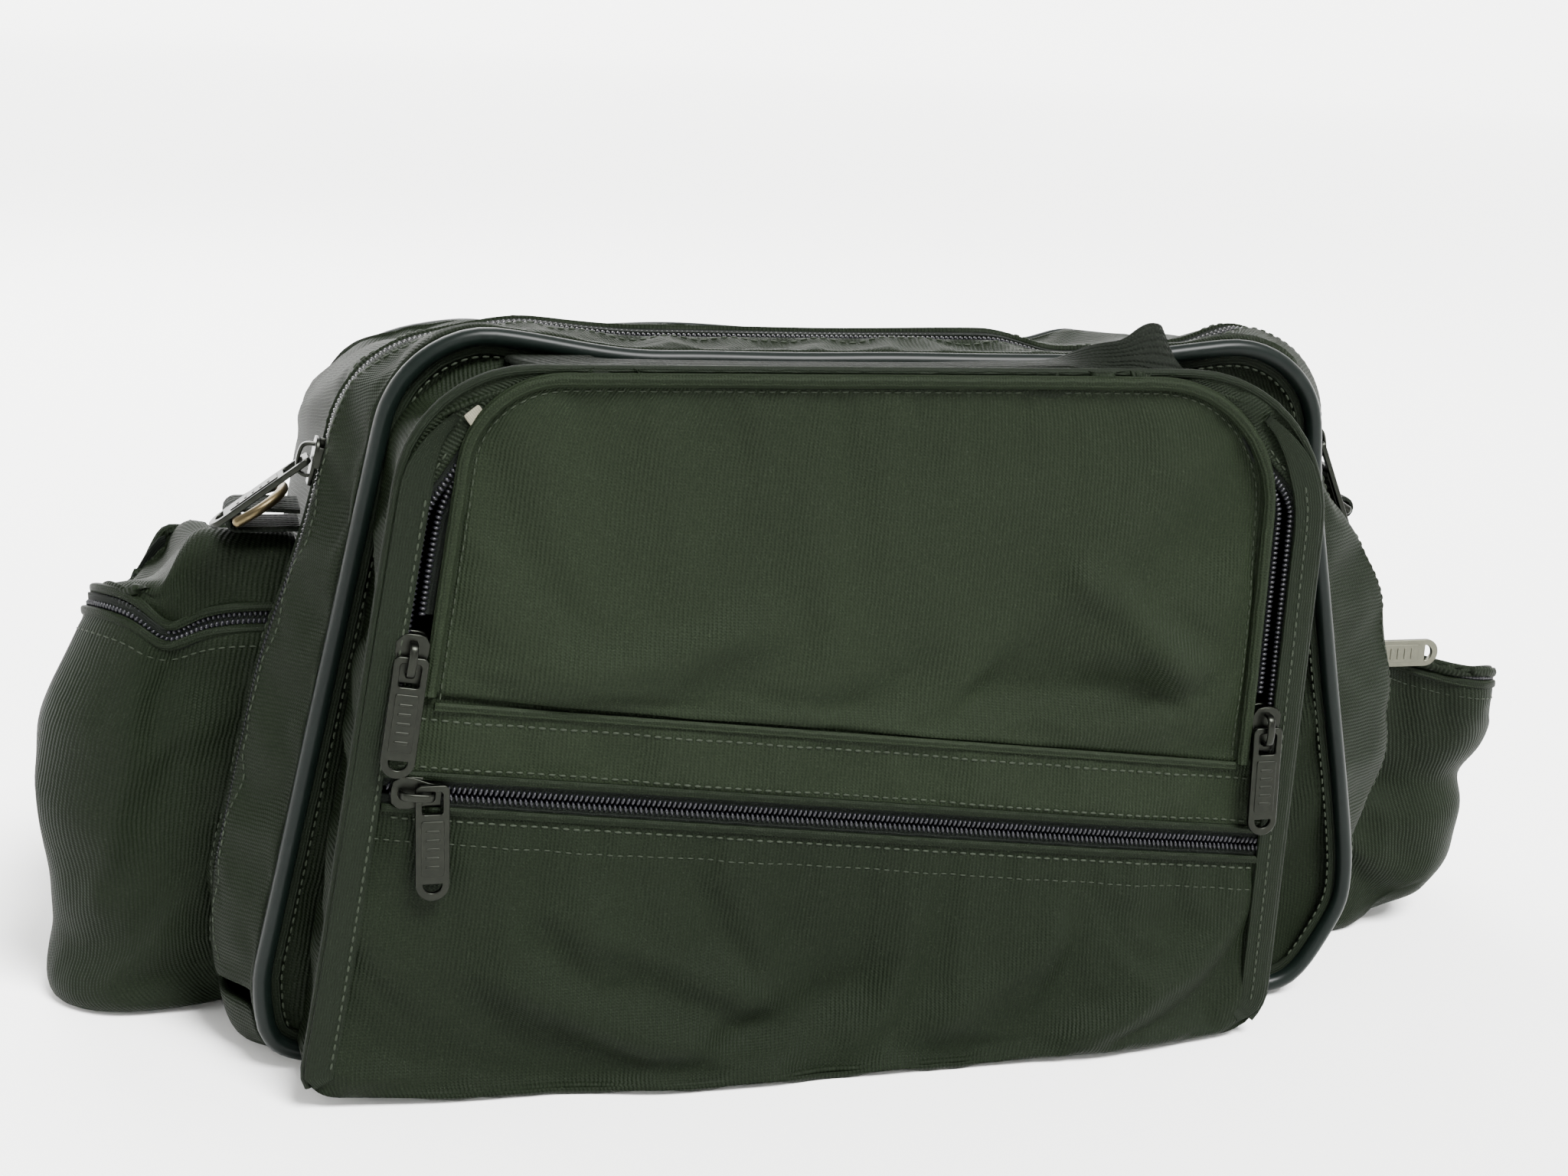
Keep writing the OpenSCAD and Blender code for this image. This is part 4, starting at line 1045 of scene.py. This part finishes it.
def build_end_pocket(name, sign, reach, zip_z, lid_z, slump, seed):
    shell_node, lid_node = f"{name}_pocket_shell", f"{name}_pocket_lid"

    def placed(rows):
        return slump(rows) * np.array([sign, 1, 1])

    def line(inset, z, spacing):
        return resample(placed(end_line(reach, inset, z)), spacing)

    def away(row):
        return unit((row - np.array([sign * 150, 10, 0])) * np.array([1, 1, 0]))

    def hinged(piece):
        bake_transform(piece)

    rows = [end_line(reach, inset, z) for inset, z in END_FLOOR]
    rows += [end_line(reach, 0, z) for z in np.linspace(6, zip_z - 2.0, 26)]
    points = np.array(rows)
    shell = grid_object(f"{name}_pocket", placed(points), flip=sign < 0)
    held = border(points)
    held[1] = True
    settle(shell, held.reshape(-1), spare=0.035, cap=5, seed=seed)

    rows = [end_line(reach, 0, z) for z in np.linspace(zip_z + 2.0, lid_z - 5, 6)]
    rows += [end_line(reach, inset, lid_z - drop) for inset, drop in END_LID]
    points = np.array(rows)
    held = border(points)
    held[-1, 1:-1] = False
    lid = grid_object(f"{name}_lid", placed(points), flip=sign < 0)
    settle(lid, held.reshape(-1), spare=0.04, cap=3.5, seed=seed + 1)

    for piece in (shell, lid):
        if sign < 0:
            keep_flat(piece, END_REAR_Y - 0.2)
        thicken(piece, POCKET_CLOTH)
    finish_piece(shell, "fabric", "bag", shell_node)
    bake(lid)
    finish_piece(lid, "fabric", None, lid_node)
    hinged(lid)

    row = line(0.9, zip_z - 1.4, 3.0)
    tape(f"{name}_pocket_tape", row, away(row), 7.0, "bag")
    row = line(0.3, zip_z - 1.2, TOOTH_PITCH)
    teeth(f"{name}_pocket_teeth", row, directions(row), away(row), "bag", f"{name}_pocket_coil")
    row = line(0.3, zip_z + 1.2, TOOTH_PITCH)
    hinged(teeth(f"{name}_lid_teeth", row, directions(row), away(row), None, f"{name}_lid_coil"))
    for part, body, height in (("pocket", "bag", zip_z - 3.4), ("lid", None, zip_z + 3.4)):
        row = line(0.2, height, 2.0)
        welt = cord(f"{name}_{part}_welt", row, away(row), flat_profile(2.4, 3.0, 14, 0.7),
                    ("fabric", body))
        if not body:
            hinged(welt)
    row = line(0, zip_z - 8.5, STITCH_PITCH)
    out = away(row)
    stitches(f"{name}_pocket_stitches", lay_on(shell, row, -out, 0.1), out, "bag", (2.1, 0.5, 0.6))


# ---------- handles and strap lugs ----------

def strap(name, path, out, middle, *nodes):
    """A web handle, folded thicker and narrower where middle is 1."""
    size = np.stack([1 + 0.9 * middle, 1 - 0.5 * middle], -1)
    return cord(name, path, out, flat_profile(2.3, 24.5), ("webbing", None, *nodes), scale=size)


def build_front_handle():
    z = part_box("front_handle")[1].z * 1000 - 2.4
    path = np.array([
        (93, -80.5, z - 6), (94, -84, z - 3), (92, -88, z), (86, -92, z + 2), (76, -95, z + 2.5),
        (64, -97.5, z + 1.8), (50, -100, z + 0.6), (25, -101.5, z), (0, -101.5, z - 0.4),
        (-40, -101.5, z - 0.4), (-74, -101, z - 0.2), (-88, -98, z), (-94, -92, z + 0.4),
        (-95, -86, z), (-94, -80.5, z - 2)], float)
    path = smooth_line(path, 2.0)
    tip = hump(path[:, 0], 48, 70, 88, 99)[:, None]
    out = unit(np.array([0, 0, 1.0]) * (1 - 0.45 * tip) + np.array([0.25, -0.75, 0]) * tip)
    piece = strap("front_handle_strap", path, out, smooth((86 - np.abs(path[:, 0])) / 16),
                  "front_handle", "front_handle_anchors")
    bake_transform(piece)


def build_rear_handle():
    low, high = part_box("rear_handle")
    top_z, bottom_z = high.z * 1000, low.z * 1000
    y = BACK_Y + 2.2
    half = 75
    side = [(half, y, top_z + 8), (half, y + 0.4, top_z), (half, y + 2.2, top_z - 8),
            (half - 1, y + 2.6, top_z - 22), (half - 6, y + 3.0, bottom_z + 12),
            (half - 20, y + 3.2, bottom_z + 7)]
    path = side + [(0, y + 3.4, bottom_z + 5)] + [(-a, b, c) for a, b, c in side[::-1]]
    path = smooth_line(path, 2.0)
    piece = strap("rear_handle_strap", path, REAR, smooth((66 - np.abs(path[:, 0])) / 20),
                  "rear_handle", "rear_handle_anchors")
    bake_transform(piece)


def smooth_line(points, spacing):
    """A smooth line through the given points."""
    points = np.asarray(points, float)
    padded = np.vstack([2 * points[0] - points[1], points, 2 * points[-1] - points[-2]])
    t = np.linspace(0, 1, 12, endpoint=False)[:, None]
    parts = []
    for i in range(1, len(padded) - 2):
        a, b, c, d = padded[i - 1:i + 3]
        parts.append(0.5 * ((2 * b) + (c - a) * t + (2 * a - 5 * b + 4 * c - d) * t ** 2
                            + (3 * b - a - 3 * c + d) * t ** 3))
    parts.append(points[-1:])
    return resample(np.vstack(parts), spacing)


def build_lugs():
    """Folded webbing that holds each strap ring."""
    tip = 178.0
    for name, sign in (("left", -1), ("right", 1)):
        low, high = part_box(f"{name}_strap_lug")
        z = (low.z + high.z) * 500
        y = (low.y + high.y) * 500
        wide = (high.y - low.y) * 1000
        side = bag_side_x(y, z) - 1
        angles = np.linspace(-math.pi / 2, math.pi / 2, 14)
        loop = [(side, z - 2.9), ((side + tip) / 2, z - 3.0)]
        loop += [(tip + 3.0 * math.cos(a), z + 3.0 * math.sin(a)) for a in angles]
        loop += [((side + tip) / 2, z + 2.9), (side, z + 2.4)]
        path = smooth_line([(sign * x, y, h) for x, h in loop], 1.2)
        out = np.cross(directions(path), np.array([0, -sign * 1.0, 0]))
        cord(f"{name}_lug", path, out, flat_profile(1.7, wide),
             ("webbing", "bag", f"{name}_strap_lug"))


# ---------- metal ----------

def plate(name, outlines, thick, bevel=0.25):
    """A flat plate in its own x, y plane from outlines in millimetres; later ones are holes."""
    curve = bpy.data.curves.new(name, "CURVE")
    curve.dimensions = "2D"
    curve.fill_mode = "BOTH"
    curve.extrude = (thick / 2 - bevel) / 1000
    curve.bevel_depth = bevel / 1000
    curve.bevel_resolution = 2
    curve.offset = -bevel / 1000
    for outline in outlines:
        line = curve.splines.new("POLY")
        line.points.add(len(outline) - 1)
        for point, (x, y) in zip(line.points, outline):
            point.co = (x / 1000, y / 1000, 0, 1)
        line.use_cyclic_u = True
    return link(name, curve)


def round_box(x0, x1, y0, y1, r, steps=6):
    points = []
    corners = ((x1 - r, y1 - r, 0), (x0 + r, y1 - r, 90), (x0 + r, y0 + r, 180), (x1 - r, y0 + r, 270))
    for cx, cy, start in corners:
        for k in range(steps + 1):
            a = math.radians(start + 90 * k / steps)
            points.append((cx + r * math.cos(a), cy + r * math.sin(a)))
    return points


def half_disc(r, y, steps=16):
    return [(r * math.cos(a), y + r * math.sin(a)) for a in np.linspace(math.pi, 2 * math.pi, steps)]


def pull_mesh():
    """Pull tab: its bar at the origin, its length along -Y, its face along +Z."""
    body = round_box(-4.7, 4.7, -33, 0.9, 1.6)
    body = [(x, y) for x, y in body if y > -25] + [
        (4.7 * math.cos(a), -28.3 + 4.7 * math.sin(a)) for a in np.linspace(math.pi, 2 * math.pi, 22)]
    body.sort(key=lambda q: math.atan2(q[1] + 16, q[0]))
    pieces = [plate("tab", [body, round_box(-2.9, 2.9, -7.5, -0.9, 1.0), half_disc(2.7, -28.0)], 1.7, 0.3),
              plate("pad", [round_box(-3.2, 3.2, -25.6, -9.4, 0.6)], 2.3, 0.2)]
    for k in range(5):
        y = -22.8 + k * 2.6
        pieces.append(plate("ridge", [round_box(-2.0, 2.0, y - 0.45, y + 0.45, 0.4)], 2.7, 0.2))
    return join("pull_tab", pieces)


def slider_mesh():
    """Slider: its chain along Y with the pull's bridge on +Z; Y points to the wide end."""
    outline = [(-2.9, -7), (2.9, -7), (3.4, -3), (4.6, 1.5), (4.75, 4.5), (3.2, 6.6), (1.2, 7.0),
               (-1.2, 7.0), (-3.2, 6.6), (-4.75, 4.5), (-4.6, 1.5), (-3.4, -3)]
    rails = [round_box(side * 4.3 - 0.4, side * 4.3 + 0.4, -1.5, 4.6, 0.3) for side in (-1, 1)]
    pieces = []
    for name, shape, thick, bevel, height in (
            ("top", outline, 1.3, 0.3, 0.0021), ("under", outline, 1.3, 0.3, -0.0021),
            ("wedge", round_box(-0.7, 0.7, 2, 6.8, 0.5), 4.0, 0.2, 0),
            ("rail", rails[0], 3.4, 0.2, 0.0006), ("rail", rails[1], 3.4, 0.2, 0.0006)):
        pieces.append(plate(name, [shape], thick, bevel))
        pieces[-1].location.z = height
    bpy.context.view_layer.update()
    path = smooth_line(np.array([(0, -4.6, 2.4), (0, -4.5, 4.4), (0, -3.4, 6.0), (0, 0, 6.5),
                                 (0, 3.4, 6.0), (0, 4.5, 4.4), (0, 4.6, 2.4)], float), 0.6)
    out = np.cross(directions(path), np.array([1.0, 0, 0]))
    bridge = sweep("bridge", path, out, flat_profile(1.1, 2.3, 14, 0.6))
    return join("slider_body", pieces + [bridge])


def axes_matrix(x, y, z, origin):
    matrix = Matrix((x, y, z)).transposed().to_4x4()
    matrix.translation = origin
    return matrix


def place_metal(source, name, part, origin, face, up):
    """A copy of a metal mesh on its body, with its Z along face and its Y along up."""
    z, y = Vector(face).normalized(), Vector(up)
    y = (y - z * y.dot(z)).normalized()
    piece = link(f"{name}_{part}_metal", source.data.copy())
    piece.matrix_world = axes_matrix(y.cross(z), y, z, origin)
    pale = (name, part) == ("right_pocket", "pull")
    finish_piece(piece, "pale_metal" if pale else "metal", f"{name}_{part}_body", f"{name}_{part}")


def build_metal():
    slider, pull = slider_mesh(), pull_mesh()
    sin_lean, cos_lean = math.sin(LEAN), math.cos(LEAN)
    flap_lean = math.asin(JOINTS["flap_left_zip"]["axis"][0])
    # Each slider's face, the way to its wide end, and how far its pull hangs off it in degrees
    for name, face, up, lift in (
            ("main_left", (-cos_lean, 0, sin_lean), (sin_lean, 0, cos_lean), 42),
            ("main_right", (cos_lean, 0, sin_lean), (-sin_lean, 0, cos_lean), 12),
            ("flap_left", FRONT, (math.sin(flap_lean), 0, math.cos(flap_lean)), 4),
            ("flap_right", FRONT, (0, 0, 1), 4),
            ("right_pocket", FRONT, (-1, 0, 0), 0)):
        face, up = Vector(face), Vector(up)
        bar = Vector(JOINTS[f"{name}_pull_swing"]["pos_m"])
        place_metal(slider, name, "slider", bar - face * BAR_HEIGHT, face, up)
        a = math.radians(lift)
        place_metal(pull, name, "pull", bar, face * math.cos(a) + up * math.sin(a),
                    up * math.cos(a) - face * math.sin(a))
    # These two pulls hang from one leg of their slider's bridge
    for name, face, up in (("lower", FRONT, (-math.cos(SEAM_SLOPE), 0, math.sin(SEAM_SLOPE))),
                           ("left_pocket", REAR, (1, 0, 0))):
        bar = Vector(JOINTS[f"{name}_pull_swing"]["pos_m"])
        low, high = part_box(f"{name}_slider")
        centre = (low + high) / 2
        centre.y = bar.y - face[1] * BAR_HEIGHT
        place_metal(slider, name, "slider", centre, face, up)
        place_metal(pull, name, "pull", bar, face, (0, 0, 1))
    for source in (slider, pull):
        bpy.data.objects.remove(source, do_unlink=True)


def keep_cad_pieces():
    """CAD pieces that are shown as they are, in better materials."""
    for node, material in (("left_strap_ring", "brass"), ("right_strap_ring", "metal"),
                           ("base_board", "board")):
        mesh = frame["nodes"][node].data
        mesh.materials.clear()
        mesh.materials.append(MATERIALS[material])
        shade_smooth(mesh)


# ---------- stage ----------

def build_floor():
    """A round paper floor whose far rim curves up, so that no horizon shows."""
    flat, curve, high, low, around = 9.0, 4.0, 7.0, -0.0005, 64
    profile = [(0.5, low), (flat, low)]
    profile += [(flat + curve * math.sin(a), low + curve * (1 - math.cos(a)))
                for a in np.linspace(0.1, math.pi / 2, 14)]
    profile.append((flat + curve, high))
    ring = [2 * math.pi * k / around for k in range(around)]
    verts = [(r * math.cos(a), r * math.sin(a), z) for r, z in profile for a in ring]
    faces = [list(range(around))]
    for corners in quads(len(profile), around, loop_cols=True):
        a, b, c, d = (i * around + j % around for i, j in corners)
        faces.append([a, d, c, b])
    mesh = bpy.data.meshes.new("floor")
    mesh.from_pydata(verts, [], faces)
    shade_smooth(mesh)
    mesh.materials.append(plain("pale_floor", (0.95, 0.95, 0.94), 0.9, specular=0.1))
    link("floor", mesh)


def build_lights():
    world = bpy.data.worlds.new("studio")
    bpy.context.scene.world = world
    world.use_nodes = True
    sky = world.node_tree.nodes["Background"]
    sky.inputs["Color"].default_value = (1.0, 1.0, 0.99, 1)
    sky.inputs["Strength"].default_value = 1.1
    for kind, name, place, power, spread, width in (
            ("SUN", "key", (0.42, -0.85, 1.3), 14.0, "angle", math.radians(24)),
            ("AREA", "back", (-0.3, 1.5, 1.5), 45, "size", 1.2)):
        light = bpy.data.lights.new(name, kind)
        light.energy = power
        setattr(light, spread, width)
        lamp = link(name, light)
        lamp.location = place
        lamp.rotation_euler = Vector(place).to_track_quat("Z", "Y").to_euler()


def build_camera():
    yaw, pitch, roll = math.radians(17.14), math.radians(16.33), math.radians(3.15)
    target, distance = Vector((0, -0.080, 0.115)), 0.700
    back = Vector((-math.sin(yaw) * math.cos(pitch), -math.cos(yaw) * math.cos(pitch), math.sin(pitch)))
    right = Vector((math.cos(yaw), -math.sin(yaw), 0))
    up = back.cross(right)
    data = bpy.data.cameras.new("camera")
    data.sensor_width = 36
    data.lens = 53.3
    data.shift_x = -0.0454
    data.shift_y = 0.0547
    camera = link("camera", data)
    camera.matrix_world = axes_matrix(right * math.cos(roll) + up * math.sin(roll),
                                      up * math.cos(roll) - right * math.sin(roll),
                                      back, target + back * distance)
    bpy.context.scene.camera = camera


bag_gusset = build_gusset()
build_panels()
door_gusset = build_door_edge()
build_piping("front_piping_roll", FRONT_Y - 2.4, "front_door", "front_piping")
build_piping("rear_piping_roll", BACK_Y + 2.4, "bag", "rear_piping")
build_main_zip(door_gusset, bag_gusset)
build_pocket_wall()
build_pocket_band()
build_lower_panel()
build_pocket_frame()
build_pocket_edges()
build_lower_zip()
build_flap()
build_flap_zip()
build_label()
build_end_pocket("left", -1, reach=237, zip_z=126, lid_z=149, slump=left_slump, seed=91)
build_end_pocket("right", 1, reach=243, zip_z=105, lid_z=116, slump=right_slump, seed=95)
build_front_handle()
build_rear_handle()
build_lugs()
build_metal()
keep_cad_pieces()
build_floor()
build_lights()
build_camera()
